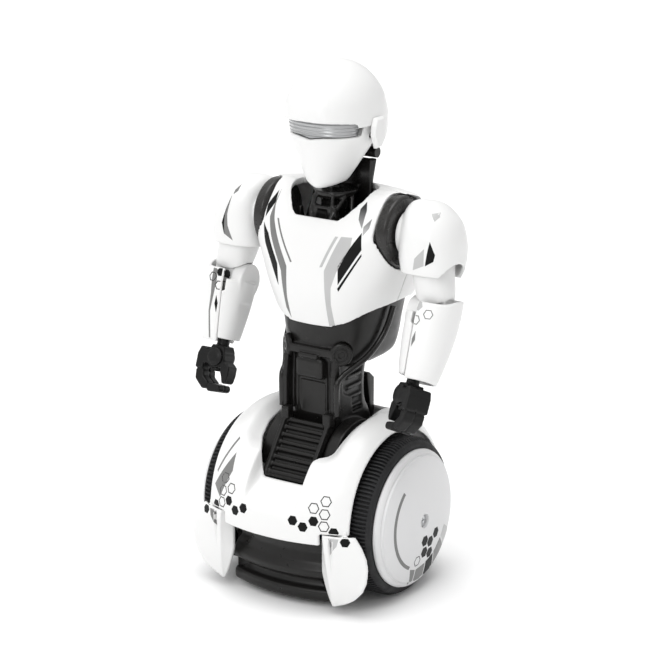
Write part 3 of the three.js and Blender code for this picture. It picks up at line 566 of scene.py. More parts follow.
def shell_radius(x, angle, widen=0.0):
    """Distance of the shell from the wheel axis. Angle 0 is straight ahead and 90 straight up.
    The channel for the apron is widened on the inner skin, so that its walls keep their thickness."""
    across = min(1.0, abs(x) / SHELL_HALF_WIDTH)
    nose = SHELL_EDGE_RADIUS + 12 * (1 - across ** 2) ** 0.9
    crest = 56 - 7.4 * (max(0.0, abs(x) - 34) / 14) ** 2
    dip = 7 * ease((34 - abs(x)) / 12) * ease((angle - 40) / 15) * (1 - ease((angle - 85) / 30))
    to_crest = ease((angle - 5) / 45)
    tail = 3 * ease((angle - 90) / 40) * (1 - across ** 2) ** 0.5
    channel = 8 * ease((18 + widen - abs(x)) / 3) * ease((angle - 9) / 20) * (1 - ease((angle - 60) / 20))
    return nose * (1 - to_crest) + (crest - dip) * to_crest + tail - channel


def shell_section(x, inset):
    ring = []
    for angle in range(-35, 325, 2):
        radius = (50 if angle > 215 else shell_radius(x, min(200, angle), inset)) - inset
        t = math.radians(angle)
        ring.append((x, -radius * math.cos(t), AXLE_Z + radius * math.sin(t)))
    return ring


def shell_body(inset, half_width):
    count = 64
    return loft([shell_section(half_width * (2 * i / count - 1), inset) for i in range(count + 1)])


OPENING = [(-13.8, -60), (-13.8, -42), (-17.5, -39), (-24.5, -28), (-26, -19), (-26, 22), (-20, 30),
           (20, 30), (26, 22), (26, -19), (24.5, -28), (17.5, -39), (13.8, -42), (13.8, -60)]


def base_shell():
    wall = SHELL_THICKNESS
    shell = cut(shell_body(0, SHELL_HALF_WIDTH), shell_body(wall, SHELL_HALF_WIDTH + 1))
    well = cut(rod("x", 64, WELL_WALL_X, WELL_WALL_X + wall, (0, AXLE_Z)),
               rod("x", 14, WELL_WALL_X - 1, WELL_WALL_X + wall + 1, (0, AXLE_Z)))
    join(shell, keep(both(well), shell_body(1, SHELL_HALF_WIDTH)))
    return cut(shell, prism(OPENING, "z", 68.4, 130))


def shells():
    whole = base_shell()
    front_edge = SHELL_SPLIT_Y - SEAM / 2
    ahead = join(block(-31.4, -80, 41, 31.4, front_edge, 140),
                 block(-60, -80, SKIRT_TOP + SEAM, 60, front_edge, 140),
                 block(-60, -40, 41, 60, front_edge, 140))
    behind = block(-60, SHELL_SPLIT_Y + SEAM / 2, 24, 60, 80, 140)
    front = mould(keep(copy(whole), ahead))
    rear = mould(keep(whole, behind))
    finish_piece(front, "base_front_shell", "base", WHITE, ["front_shell"])
    finish_piece(rear, "base_rear_shell", "base", WHITE, ["rear_shell"])
    return front


def skirt_edge(z):
    """Half width of the skirt's outer edge at a height, from its rounded leaf outline."""
    rows = [(4.6, 37.6), (5.6, 41.0), (7.5, 45.6), (10.6, 50.5), (16, 55.4), (22, 58.0), (29.8, 58.9),
            (36, 57.8), (41.7, 55.0), (47.4, 50.6)]
    heights = [row[0] for row in rows]
    return float(np.interp(z, heights, [row[1] for row in rows]))


def skirts():
    """A broad outer leaf in front of the wheel, with a narrow strip folded back along its inner edge."""
    height = SKIRT_TOP - SKIRT_FOOT
    leaf = []
    strip = []
    for z in [SKIRT_FOOT + height * i / 60 for i in range(61)]:
        share = (z - SKIRT_FOOT) / height
        fold_x = 37.4 - 3.6 * share
        fold_y = -50.2 - 5.4 * min(1, share * 1.15) ** 0.75
        edge_x = max(skirt_edge(z), fold_x + 0.8)
        front = []
        for k in range(13):
            t = k / 12
            bulge = 1.5 * math.sin(math.pi * t) * share
            depth = fold_y + (-48.9 - fold_y) * t ** 1.2 - bulge * 0.5
            front.append((fold_x + (edge_x - fold_x) * t, depth, z))
        back = [(x, y + 2.1, z) for x, y, _ in reversed(front)]
        leaf.append(front + back)
        inner_x = fold_x - (fold_x - 30.2) * min(1.0, share * 2.2) ** 0.8 - 0.4
        strip.append([(fold_x + 0.6, fold_y, z), (fold_x + 0.6, fold_y + 2.2, z),
                      (inner_x + 1.9, -47.6, z), (inner_x, -47.6, z), (inner_x, -49.6, z)])
    tongue = block(34.6, -50.0, 44, 46.0, -48.2, 50.4)
    skirt = join(loft(leaf), loft(strip), tongue)
    groove = prism([(37.6, 46), (39.4, 46), (39.3, 30), (38.9, 13), (38.3, 13)], "y", -58, -53.2)
    cut(skirt, groove)
    mould(skirt, FINE_VOXEL, 4)
    finish_pair(skirt, "base_skirt", "base", WHITE, "skirt")


def bumper(top):
    """Two round lips, one above the other, that curve back towards their ends."""
    profile = [(-0.6, top), (-2.2, min(31, top - 0.6)), (-0.6, min(25.6, top - 1.2)), (1.7, 22.6),
               (2.4, 21.6), (2.5, 20), (2.3, 18.6), (1.5, 17.4), (-2.4, 16.4), (-3.6, 13.6), (-2.4, 11.2),
               (0.6, 10), (1.3, 9), (1.4, 7.4), (1.2, 5.2), (0.4, 3.6), (-3, 3.4), (-9, 4.4), (-9, top)]
    half_width = 33.2
    rings = []
    for i in range(49):
        x = half_width * (i / 24 - 1)
        front = -48.9 + 0.0058 * x ** 2
        rings.append([(x, front - out, z) for out, z in profile])
    return cut(loft(rings), block(-34, -41.3, 0, 34, -20, 50))


def bumpers():
    front = mould(bumper(40.2), FINE_VOXEL, 4)
    rear = mould(cut(bumper(23.6), block(-14.6, -52.6, -1, 14.6, -40, 10.6)), FINE_VOXEL, 4)
    moved(rear, Matrix.Scale(-1, 4, Vector((0, 1, 0))))
    rear.data.flip_normals()
    finish_piece(front, "base_front_bumper", "base", BLACK, ["front_bumper"])
    finish_piece(rear, "base_rear_bumper", "base", BLACK, ["rear_bumper"])


def shell_prints(surface):
    """Hexagons that trail over the front of the shell, and the flank panel on the right side."""
    rings = [(33.7, -50.1, 65.9), (27.6, -53.1, 61.7), (34.0, -52.4, 59.0), (34.2, -54.3, 52.4)]
    dots = [(28.4, -54.8, 54.8), (22.7, -56.9, 50.9), (16.6, -57.5, 53.7), (39.4, -52.0, 49.4),
            (46.6, -51.3, 45.2)]
    for side, sign in SIDES:
        for i, (x, y, z) in enumerate(rings):
            name = f"print_ring_{side}_{i}"
            hexagon_at(name, surface, (sign * x, y, z), "base", LOOK_BLACK, outlined=True)
        for i, (x, y, z) in enumerate(dots):
            name = f"print_dot_{side}_{i}"
            hexagon_at(name, surface, (sign * x, y, z), "base", LOOK_BLACK, radius=2.95)
    panel = [(-31.0, 79.5), (-29.6, 70.5), (-36.4, 54.6), (-42.4, 60.2)]
    decal("print_flank_panel", surface, filled(panel), *FRONT_VIEW, "base", *LOOK_GREY)
    line = [(-33.4, 86.4), (-32.6, 85.6), (-41.4, 66.8), (-42.2, 67.8)]
    decal("print_flank_line", surface, filled(line, 0.6), *FRONT_VIEW, "base", *LOOK_GREY)
    kite = [(43.2, 46.6), (37.6, 46.6), (38.0, 36.6), (42.4, 42.6)]
    for side, sign, look in (("left", 1, LOOK_SILVER), ("right", -1, LOOK_GREY)):
        outline = [(sign * x, z) for x, z in kite]
        decal(f"print_skirt_{side}", surface, filled(outline), *FRONT_VIEW, "base", *look)


# ---- wheels -------------------------------------------------------------------------------
def tyre():
    """A tyre with fine ribs across its tread and a smooth outer shoulder."""
    ribs = 120
    # position along the axle, radius between the ribs, radius on the ribs
    rows = [(38.0, 39.2, 39.2), (38.0, 43.2, 43.2), (38.6, 43.5, 44.2), (39.2, 43.5, 45.0),
            (50.8, 43.5, 45.0), (52.2, 43.3, 44.7), (53.4, 42.8, 44.0), (54.0, 43.4, 43.6),
            (55.0, 42.9, 42.9), (55.8, 41.8, 41.8), (56.0, 40.6, 40.6), (56.0, 39.2, 39.2),
            (52.0, 38.5, 38.5), (42.0, 38.5, 38.5)]
    parts = [(0.04, 0), (0.2, 1), (0.58, 1), (0.74, 0)]
    rings = []
    for i in range(ribs):
        for share, high in parts:
            t = 2 * math.pi * (i + share) / ribs
            ring = [(x, top if high else low) for x, low, top in rows]
            rings.append([(x, radius * math.cos(t), AXLE_Z + radius * math.sin(t)) for x, radius in ring])
    return smooth(solid(*skin(rings, wrap=True)), 30)


def hubcap():
    """A shallow dome with a raised rim, a fine groove inside it and a sunk screw seat."""
    base = 56.3
    crown = 9.6
    reach = RIM_RADIUS + 2
    screw = 4.2
    dome = []
    for i in range(33):
        r = screw + (RIM_RADIUS - 3.4 - screw) * i / 32
        dome.append((r, base + crown * math.sqrt(1 - (r / reach) ** 2)))
    lip = [(3.0, 3.5), (2.6, 3.35), (2.2, 3.45), (1.2, 3.0), (0.3, 1.9), (0, 0.9)]
    lip = [(RIM_RADIUS - inward, base + height) for inward, height in lip]
    inner = [(RIM_RADIUS - 0.2, 0), (RIM_RADIUS - 2, 0), (RIM_RADIUS - 6, 1.6), (20, 6), (6.2, 4), (2.2, 4),
             (2.2, 6.2), (3.9, 6.3), (4.0, 9.0)]
    inner = [(radius, base + height) for radius, height in inner]
    return smooth(turned("x", dome + lip + inner, (0, AXLE_Z), 180), 34)


def hub():
    rim = RIM_RADIUS - 1.5
    profile = [(2.35, 39), (7, 39), (7, 44), (rim - 3, 44), (rim - 3, 39), (rim, 39), (rim, 54),
               (rim - 3, 54), (rim - 3, 47), (7, 47), (7, 53), (2.35, 53)]
    wheel = turned("x", rounded(profile, 0.6), (0, AXLE_Z), 120)
    for i in range(5):
        t = 2 * math.pi * (i + 0.5) / 5
        cut(wheel, rod("x", 7.5, 40, 50, (21 * math.cos(t), AXLE_Z + 21 * math.sin(t)), 48))
    return smooth(wheel)


def cap_screw():
    head = rod("x", 3.4, 62.6, 64.0, (0, AXLE_Z), 48)
    shank = rod("x", 1.3, 54.4, 62.8, (0, AXLE_Z), 32)
    screw = join(head, shank)
    for half_y, half_z in ((2.4, 0.45), (0.45, 2.4)):
        cut(screw, block(63.3, -half_y, AXLE_Z - half_z, 65, half_y, AXLE_Z + half_z))
    return bevelled(screw, 0.15, 2)


def wheels():
    # The hubcap and the hub take whites that are darkened as painted shade.
    pieces = [("tyre", tyre(), RUBBER, "tyre", "tyre"),
              ("hubcap", hubcap(), HUBCAP_WHITE_PAINTED_SHADE, "white_shell", "hubcap"),
              ("hub", hub(), MATT_WHITE_PAINTED_SHADE, "white_shell", "wheel_hub"),
              ("screw", cap_screw(), STEEL, "steel", "hubcap_screw")]
    for side, sign in SIDES:
        for kind, piece, material, slot, node_name in pieces:
            made = piece if sign > 0 else mirrored(piece)
            name = f"wheel_{kind}_{side}"
            finish_piece(made, name, f"wheel_{side}", material, [f"{node_name}_{side}"])
            if kind == "hubcap":
                hubcap_prints(side, sign, surface_of(made))


def hubcap_prints(side, sign, surface):
    """A curved band, a cluster of hexagons and a broken patch, the same on both hubcaps."""
    body = f"wheel_{side}"
    centre = (sign * 60, 0, AXLE_Z)
    across = (0, sign, 0)
    up = (0, 0, 1)
    arc = circle(28.6, start=130, end=243, sides=40) + circle(26.6, start=130, end=243, sides=40)[::-1]
    hexes = [(0.6, -12.2), (6.8, -14.4), (12.9, -11.1), (1.1, -19.2), (7.3, -21.4)]

    def lay(name, flat, look, shift=(0, 0)):
        verts, faces = flat
        placed = [(sign * (y + shift[0]), z + shift[1]) for y, z in verts]
        decal(f"print_{name}_{side}", surface, (placed, faces), centre, across, up, body, *look)

    lay("arc", filled(arc), LOOK_GREY)
    for i, shift in enumerate(hexes):
        lay(f"hub_dot_{i}", filled(hexagon(3.35)), LOOK_BLACK, shift)
    lay("hub_ring", ringed(hexagon(3.2), 0.4), LOOK_BLACK, (-5.4, -22.6))
    patches = [([(-11.4, -26.0), (-6.4, -27.6), (-6.0, -35.6), (-8.4, -37.0)], LOOK_GREY),
               ([(-5.4, -27.8), (3.6, -26.6), (4.4, -36.0), (-5.2, -35.8)], LOOK_GREY),
               ([(4.6, -26.2), (12.0, -23.6), (14.8, -33.0), (5.4, -35.8)], LOOK_BLACK),
               ([(13.0, -22.8), (19.6, -16.6), (27.0, -24.6), (15.8, -32.4)], LOOK_GREY),
               ([(20.4, -15.6), (24.0, -10.0), (32.6, -15.4), (27.8, -23.6)], LOOK_SILVER)]
    for i, (outline, look) in enumerate(patches):
        lay(f"hub_patch_{i}", filled(outline), look)


# ---- underside ----------------------------------------------------------------------------
def rollers():
    for name, y, radius in (("front_roller", -32, 4.4), ("rear_roller", 47, 5)):
        small = radius - 0.5
        half = [(small, 0.6), (radius, 1.2), (radius, 9.4), (radius - 1, 10.4), (1.35, 10.6), (1.35, 13.4),
                (0, 13.4)]
        profile = [(r, -x) for r, x in reversed(half)] + half
        piece = smooth(turned("x", profile, (y, radius), 48), 30)
        finish_piece(piece, f"roller_{name.split('_')[0]}", name, BLACK, [name])


# ---- waist --------------------------------------------------------------------------------
def ribbed_apron():
    """A slanting grille of round ribs between two rails, at the front of the waist."""
    foot = Vector((0, -41, 68.8))
    top = Vector((0, -19, 97))
    slab = prism([(foot.y, foot.z), (top.y, top.z), (top.y + 4, top.z - 3), (foot.y + 4, foot.z - 3)], "x",
                 -13.2, 13.2)
    along = (top - foot).normalized()
    inward = Vector((0, along.z, -along.y))
    low_end = foot + along * 0.8
    high_end = top - along * 0.8
    floor = [low_end - inward * 2, high_end - inward * 2, high_end + inward * 2.2, low_end + inward * 2.2]
    apron = cut(slab, prism([(p.y, p.z) for p in floor], "x", -12.6, 12.6))
    ribs = 8
    for i in range(ribs):
        place = foot.lerp(top, (i + 0.7) / ribs) + inward * 0.9
        join(apron, rod("x", 1.25, -13, 13, (place.y, place.z), 24))
    rail_line = [(-41.8, 68), (-40.4, 71.6), (-24.2, 93.4), (-18.8, 101.2), (-15, 101.2), (-15, 95),
                 (-36, 66)]
    rail = prism(rail_line, "x", 13.1, 15.6)
    cut(rail, prism([(-39.4, 71), (-23.6, 92), (-22.8, 91.4), (-38.6, 70.2)], "x", 14.9, 16))
    bridge = prism([(-37.4, 70), (-18, 95), (-15.2, 95), (-15.2, 88), (-34, 66.4)], "x", -14, 14)
    join(apron, both(rail), bridge)
    clamp = block(11.4, -21.8, 96.4, 16.2, -16.2, 103.4)
    join(apron, both(clamp))
    return mould(apron, FINE_VOXEL, 3)


CAP_PLACE = Vector((16.8, -11.4, 136.6)) * MM
CAP_TURN = (Matrix.Translation(CAP_PLACE) @ Matrix.Rotation(math.radians(45), 4, "Z")
            @ Matrix.Rotation(math.radians(90), 4, "X"))


def waist_column():
    """A boxy column under a broad hip block, with a sunk front panel, pockets in its flanks and a motor
    block."""
    column = level_loft([(71, 20, -12, 24, 5), (92, 17.5, -11.5, 24, 5), (104, 15.7, -14, 20, 5),
                         (120, 15.7, -14, 20, 5), (134, 17.4, -14, 24, 3.6), (146, 20, -14.2, 25, 3)], 72)
    hips = level_loft([(127, 20, -8, 40, 3), (131, 25, -11.6, 45, 3), (140, 28, -13.8, 47.6, 2.8),
                       (150, 30.2, -14.8, 49, 2.6), (158, 31.8, -15.8, 50, 2.6),
                       (166, 33.4, -16.2, 51, 2.6)], 96)
    join(column, hips)
    cut(column, both(moved(rod("z", 7, -SEAM, 12, (0, 0)), CAP_TURN)))
    panel = block(-8.6, -20, 100, 8.6, -13.0, 119)
    channels = both(block(9.6, -16, 98, 11.2, -12.6, 132))
    pocket = prism([(-6, 124), (4, 130), (12, 128), (12, 99), (2, 99), (2, 108), (-6, 112)], "x", 14.2, 24)
    cut(column, panel, channels, both(pocket))
    rib = prism([(-2, 101), (11, 101), (11, 103), (-2, 103)], "x", 12, 15.6)
    ribs = [moved(copy(rib), Matrix.Translation((0, 0, k * 6 * MM))) for k in range(4)]
    for piece in ribs:
        join(column, both(piece))
    discard(rib)
    motor = block(-9, -18.4, 121.4, 9, -12, 133)
    bevelled(motor, 1.8, 4)
    cap = block(-6.2, -19.4, 133.4, 6.2, -14, 136)
    yoke = prism([(-15.6, 134.6), (15.6, 134.6), (14.6, 139.4), (-14.6, 139.4)], "y", -17.2, -12)
    web = prism([(-18.5, 100), (-12, 100), (-12, 135), (-16.4, 135), (-18.5, 120)], "x", 14.6, 17.4)
    join(column, both(web))
    slot = block(-7.6, -19.6, 124.4, 7.6, -18.0, 125.2)
    join(column, motor, cap, yoke)
    cut(column, slot)
    cowl = keep(rod("x", 27, 16.6, 24, (-4, 70), 96), block(15, -40, 71, 26, 30, 100))
    step = keep(rod("x", 24, 23, 25.2, (-4, 70), 96), block(15, -40, 72, 27, 28, 100))
    join(column, both(join(cowl, step)))
    return mould(column, COARSE_VOXEL * 0.85, 3)


def pivot_cap():
    """A round cover with a raised ring and a sunk middle, facing outwards and forwards."""
    profile = [(0, 0), (6.6, 0), (6.6, 2), (5.6, 3.2), (4.4, 3.2), (4.1, 2.7), (3.5, 2.7), (3.3, 3.0),
               (1.9, 3.0), (1.6, 2.4), (0, 2.4)]
    cap = turned("z", rounded(profile, 0.3), (0, 0), 72)
    return smooth(moved(cap, CAP_TURN))


def waist():
    finish_piece(ribbed_apron(), "waist_apron", "base", BLACK, ["ribbed_apron"])
    finish_piece(waist_column(), "waist_column", "base", BLACK, ["waist_frame"])
    outline = [(24.6, 78), (29.4, 82), (29.4, 112), (24.6, 116), (22, 116), (24.4, 100), (24.6, 96)]
    spine = prism(outline, "x", -13, 13)
    for z in (86, 92, 98, 104):
        cut(spine, block(-10, 28.6, z, 10, 30, z + 1.2))
    finish_piece(bevelled(spine, 0.7), "waist_spine_box", "base", BLACK, ["spine_box"])
    cap = pivot_cap()
    strut = bar([(35, 14, 161), (32.8, 11, 149.5), (30, 6, 140.5), (27.2, -0.8, 134), (22.6, -7.4, 128.6),
                 (19.4, -13, 124.6), (18.4, -17.4, 119.6), (18.2, -17.4, 102.6)], 1.7, 24, 8)
    smooth(strut, 50)
    for side, sign in SIDES:
        for piece, name, material, node_name in ((cap, "waist_pivot", BLACK, "pivot_cap"),
                                                 (strut, "waist_hose", GLOSS_BLACK, "waist_rod")):
            made = piece if sign > 0 else mirrored(piece)
            finish_piece(made, f"{name}_{side}", "base", material, [f"{node_name}_{side}"])


# ---- torso --------------------------------------------------------------------------------
TORSO_ROWS = [(138, 24, -14, 44, 2.3), (150, 33, -17, 50, 2.4), (160, 36, -19, 54, 2.5),
              (172, 40.5, -20, 55, 2.6), (185, 45, -19.2, 53, 2.7), (197, 48, -17.6, 46, 2.8),
              (207, 49, -14, 41, 2.8), (215, 49.6, -8, 37, 2.8), (221, 49.4, -2, 33, 2.8),
              (224.6, 46, 2, 29, 2.7), (226.6, 36, 6, 25, 2.4)]
LOW_EDGE = [(-60, 150), (-19.5, 152.4), (-16, 153.6), (-13, 155.6), (-9, 159.2), (-4, 162), (4, 163.6),
            (20, 164.4), (40, 163), (60, 161)]
NECK_OPENING = [(0, -30), (12, -30), (13.6, -12), (17, -8), (21, -3.4), (24.6, 2), (25.4, 8), (24.6, 14),
                (21, 20), (13, 25), (0, 26)]


def torso_shells():
    outer = level_loft(TORSO_ROWS, 128)
    inner_rows = [(137, 24, -14, 44, 2.3), *TORSO_ROWS[:-2], (222.8, 46, 3, 28, 2.6)]
    inner = level_loft(inner_rows, 96, 2)
    below = prism(curve(LOW_EDGE, 5) + [(60, 110), (-60, 110)], "x", -80, 80)
    half = curve(NECK_OPENING)
    outline = half + [(-x, y) for x, y in reversed(half[1:-1])]
    neck = prism(outline, "z", 211.6, 240)
    arm = both(rod("x", 20.6, 36, 60, (SHOULDER_Y, SHOULDER_Z), 96))
    torso = cut(outer, inner, below, neck, arm)
    ahead = block(-90, -60, 100, 90, TORSO_SPLIT_Y - SEAM / 2, 240)
    behind = block(-90, TORSO_SPLIT_Y + SEAM / 2, 100, 90, 90, 240)
    chest = mould(keep(copy(torso), ahead))
    back = mould(keep(torso, behind))
    finish_piece(chest, "torso_chest", "base", WHITE, ["chest_shell"])
    finish_piece(back, "torso_back", "base", WHITE, ["back_shell"])
    chest_prints(surface_of(chest))


def chest_prints(surface):
    """Angular graphics that frame the chest, drawn from the front as (x, z)."""
    right = [
        ("fade", [(-31.6, 221), (-30.2, 215.6), (-34.2, 207.4), (-35.4, 213.6)], LOOK_BLACK),
        ("sliver", [(-37.4, 213.6), (-35.9, 209.6), (-35.3, 205.6), (-37.6, 207.6)], LOOK_BLACK),
        ("blade", [(-34.6, 204.6), (-29.4, 199.6), (-21.2, 184), (-20.4, 172), (-25.8, 182.6),
                   (-31.6, 194)], LOOK_BLACK),
        ("stripe", [(-30.2, 221.6), (-29.6, 214.4), (-26.8, 207.6), (-21.6, 198), (-14.2, 184),
                    (-13.8, 166), (-12, 154.4), (-15.2, 160), (-18.2, 181), (-27.4, 199.8),
                    (-30.6, 208)], LOOK_GREY),
        ("line", [(-24.8, 208.4), (-23.6, 208.4), (-10.6, 187), (-11.6, 186.6)], LOOK_GREY)]
    left = [
        ("fade", [(26.4, 222), (28.6, 218), (29.6, 209.4), (26, 213.6), (24.6, 218.4)], LOOK_FADE),
        ("sliver", [(33.2, 214.4), (33.4, 209.8), (31, 205.8), (30.2, 210.4)], LOOK_FADE),
        ("blade", [(30.2, 207.5), (31.6, 198.5), (19.2, 178.1), (19.0, 188.5)], LOOK_BLACK),
        ("line", [(31.7, 196.5), (31.8, 195.1), (19.5, 174.3), (18.9, 175.9)], LOOK_BLACK),
        ("band", [(19.2, 204.4), (25.6, 204.6), (25.4, 199.6), (18.0, 184.6), (15.2, 176), (15.0, 166.8),
                  (16.0, 154.2), (12.8, 153.4), (12.0, 167), (10.8, 185)], LOOK_SILVER),
        ("thin", [(15.6, 204.2), (17.4, 204.2), (9.6, 187), (7.8, 186.6)], LOOK_SILVER)]
    for side, prints in (("right", right), ("left", left)):
        for name, outline, look in prints:
            decal(f"print_chest_{name}_{side}", surface, filled(outline), *FRONT_VIEW, "base", *look)


def shoulder_sockets():
    profile = [(0, 36.3), (18.4, 36.3), (20, 38), (20, 42.8), (18.8, 44), (6.6, 44), (6.6, 38.6), (0, 38.6)]
    socket = smooth(turned("x", rounded(profile, 0.8), (SHOULDER_Y, SHOULDER_Z), 128))
    finish_pair(socket, "torso_socket", "base", SOCKET, "shoulder_socket")


def neck():
    """A centre post with struts and plates between the collar and the head."""
    post = [(0, 199.6), (8, 199.6), (8, 208), (7, 209), (7, 213), (8, 214), (8, 219), (11, 221),
            (12.5, 222.6), (12.5, 225), (2.6, 225), (2.6, 243), (0, 243)]
    disc = [(0, 201), (20.4, 201), (20.4, 204), (10, 207), (0, 207)]
    neck_piece = join(turned("z", rounded(post, 0.5), (0, HEAD_Y), 64),
                      turned("z", rounded(disc, 0.6), (0, HEAD_Y), 96))
    bars = [([(6.4, -6.4, 204.4), (6.4, -4.4, 213), (5.6, -2, 223)], 1.15),
            ([(4, -8, 204.6), (7.6, -3.4, 214), (10.4, 6, 224)], 1.5),
            ([(15, 3, 204.6), (13.4, 5, 214), (11, 9, 224)], 1.3),
            ([(13.4, 19.6, 205), (14.4, 21, 224), (16.4, 22.4, 240.8)], 1.6)]
    pieces = []
    for sign in (1, -1):
        pieces += [bar([(sign * x, y, z) for x, y, z in line], radius) for line, radius in bars]
        side_plate = [(-3, 205), (3, 205), (1.4, 214), (-1.4, 214)]
        pieces.append(prism(side_plate, "x", min(sign * 16, sign * 18), max(sign * 16, sign * 18)))
    plate = bevelled(block(-16.6, 19.4, 204, 16.6, 22, 240.9), 0.5)
    bib = prism([(-11, 205), (11, 205), (8.4, 217), (-8.4, 217)], "y", -4.6, -1)
    window = prism([(-3.6, 208), (3.6, 208), (3.2, 215), (-3.2, 215)], "y", -6, -3.6)
    cut(bib, window)
    join(neck_piece, plate, bib, *pieces)
    mould(neck_piece, FINE_VOXEL, 3)
    finish_piece(neck_piece, "neck_frame_detail", "base", GLOSS_BLACK, ["neck_frame"])


# ---- head ---------------------------------------------------------------------------------
# rows of a level loft: height, half width, front, back and squareness
SKULL_ROWS = [(BRIM, 24.2, -19.8, 39.4, 2.25), (264.2, 25.1, -21.2, 40.2, 2.3),
              (266.4, 25.7, -22, 40.5, 2.3), (271, 25.4, -21.8, 40, 2.2), (278, 24, -19.8, 37.6, 2.2),
              (285, 21, -15.6, 33, 2.1), (291, 16, -9.4, 26.6, 2.05), (294.8, 10.4, -3, 19.8, 2),
              (296.8, 4.2, 3.8, 12.8, 2), (297.2, 0.4, 7.9, 8.7, 2)]
NAPE_ROWS = [(238, 17.4, -10, 28.6, 2.2), (245, 21.6, -12, 34, 2.2), (254, 24.8, -16, 38.8, 2.3),
             (264.4, 25.7, -21.8, 40.4, 2.3)]
FACE_ROWS = [(228.2, 3.6, -9.8, 4, 2), (229, 6, -11, 9, 2), (229.8, 7.8, -11.5, 12, 2),
             (232, 11.2, -12.6, 20, 2.1), (238, 14.2, -14.6, 27, 2.2), (242, 15.8, -15.4, 30, 2.2),
             (246, 17.6, -16, 32, 2.2), (250, 19.6, -16.6, 34, 2.3), (254, 21.6, -17, 34, 2.3),
             (258, 23, -17.2, 34, 2.3), (262.9, 23.3, -17, 34, 2.3)]
BROW_ARCH = [(-23.4, 258), (-23.4, 264.6), (-22, 265.4), (-18, 266.2), (-10, 266.6), (0, 266.8),
             (10, 266.6), (18, 266.2), (22, 265.4), (23.4, 264.6), (23.4, 258)]
VISOR_TOP = 269.4
EAR = (10.2, 257)


def helmet():
    outer = level_loft(SKULL_ROWS, 128)
    hollow = [(z - 1.6, *row) for z, *row in SKULL_ROWS[2:-2]]
    mouth = [(BRIM - 1, 24.2, -19.8, 39.4, 2.3), (BRIM + 0.6, 25.1, -21.2, 40.2, 2.3)]
    inner = level_loft([*mouth, *hollow[1:]], 96, 2)
    dome = cut(outer, inner)
    nape_room = [(237, 17.4, -10, 28.6, 2.2), *NAPE_ROWS[1:-1], (266, 25.7, -21.8, 40.4, 2.3)]
    nape = cut(level_loft(NAPE_ROWS, 128), level_loft(nape_room, 96, 2))
    edge = [(-60, 262.9), (16.3, 262.9), (16.3, 249.6), (18, 249.6), (25, 247.4), (31, 243.8),
            (50, 243.8), (50, 230), (-60, 230)]
    cut(nape, prism(edge, "x", -40, 40))
    lens_rows = [(z, 23, -16.6, 18, 2.3) for z in (250, VISOR_TOP + 0.3)]
    lens_room = level_loft(lens_rows, 96, 0, 0, 1)
    brow = prism([BROW_ARCH[0], *curve(BROW_ARCH[1:-1]), BROW_ARCH[-1]], "y", -40, 1)
    return mould(cut(join(dome, nape), brow, lens_room))


VISOR_EDGE = [(-30, 257.8), (-22, 257.8), (-15, 257.7), (-8, 257.5), (-3.6, 257), (0, 256.3),
              (3.6, 257), (8, 257.5), (15, 257.7), (22, 257.8), (30, 257.8)]
VISOR_FOOT = 253
RIB_PITCH = 1.9


def face_parts():
    """The mask under the visor, and the ribbed visor band itself."""
    outer = level_loft(FACE_ROWS, 128)
    inner = level_loft([(230.4, 9.6, -11.8, 16, 2), *FACE_ROWS[3:-1], (265, 23.3, -17, 34, 2.3)], 96, 2)
    jaw = [(16, 254), (15.6, 248.6), (13, 244.4), (8.8, 238.4), (5, 232.4), (2.4, 229), (1, 226)]
    back = prism([(16, 265), *curve(jaw), (60, 226), (60, 265)], "x", -40, 40)
    slot_end = [(-30, 240), (-2.4, 240), (-1.4, 257), (3.6, 264), (3.6, 270), (-30, 270)]
    slot = keep(prism([*VISOR_EDGE, (30, 268), (-30, 268)], "y", -30, 10), prism(slot_end, "x", -40, 40))
    mask = mould(cut(outer, inner, back, slot, rod("x", 1.9, -30, 30, EAR)))
    rows = []
    for i in range(81):
        z = VISOR_FOOT + (VISOR_TOP - VISOR_FOOT) * i / 80
        line = 0.22 * math.cos(2 * math.pi * (z - VISOR_FOOT) / RIB_PITCH)
        lean = 0.16 * (266 - z)
        rows.append((z, 22.2 - lean + line, -16.1 + lean / 2 - line, 18 + line, 2.3))
    inside = level_loft([(252, 20, -15, 18, 2.3), (272, 22.3, -15.9, 18, 2.3)], 96, 1.8)
    lens = cut(level_loft(rows, 128, 0, 0, 1), inside, block(-40, 2.6, 240, 40, 40, 280))
    below = prism([*[(x, z + 0.35) for x, z in VISOR_EDGE], (30, 240), (-30, 240)], "y", -30, 10)
    cut(lens, below)
    bevelled(lens, 0.12, 2, 50)
    return mask, lens


def ear_pod():
    """A faceted pod whose outer face is smaller than its base, on a short stem."""
    outline = [(4, 258), (4.6, 263), (6.6, 267.2), (14.4, 267), (15.2, 257), (12, 250.4), (7.4, 250)]
    count = len(outline)
    centre = (sum(p[0] for p in outline) / count, sum(p[1] for p in outline) / count)
    rings = []
    for x, share in ((25.6, 1.0), (27.2, 1.0), (28.8, 0.86)):
        rings.append([(x, centre[0] + (y - centre[0]) * share, centre[1] + (z - centre[1]) * share)
                      for y, z in outline])
    pod = bevelled(loft(rings), 0.5, 3, 12)
    return smooth(join(pod, rod("x", 1.5, 23.2, 26.4, EAR, 32)))


def head():
    mask, lens = face_parts()
    shell = helmet()
    finish_piece(shell, "head_helmet", "head", WHITE, ["helmet_shell"])
    finish_piece(mask, "head_mask", "head", WHITE, ["face_mask"])
    finish_piece(lens, "head_visor", "head", VISOR, ["visor"])
    finish_pair(ear_pod(), "head_ear", "head", WHITE, "ear_cap")
    slit = prism([(-2.4, 258.6), (-0.6, 258.2), (0.8, 262.2), (-0.6, 262.3)], "x", 21.4, 22.9)
    for side, sign in SIDES:
        piece = bevelled(slit if sign > 0 else mirrored(slit), 0.15, 2)
        finish_piece(piece, f"head_slit_{side}", "head", INK_GREY)


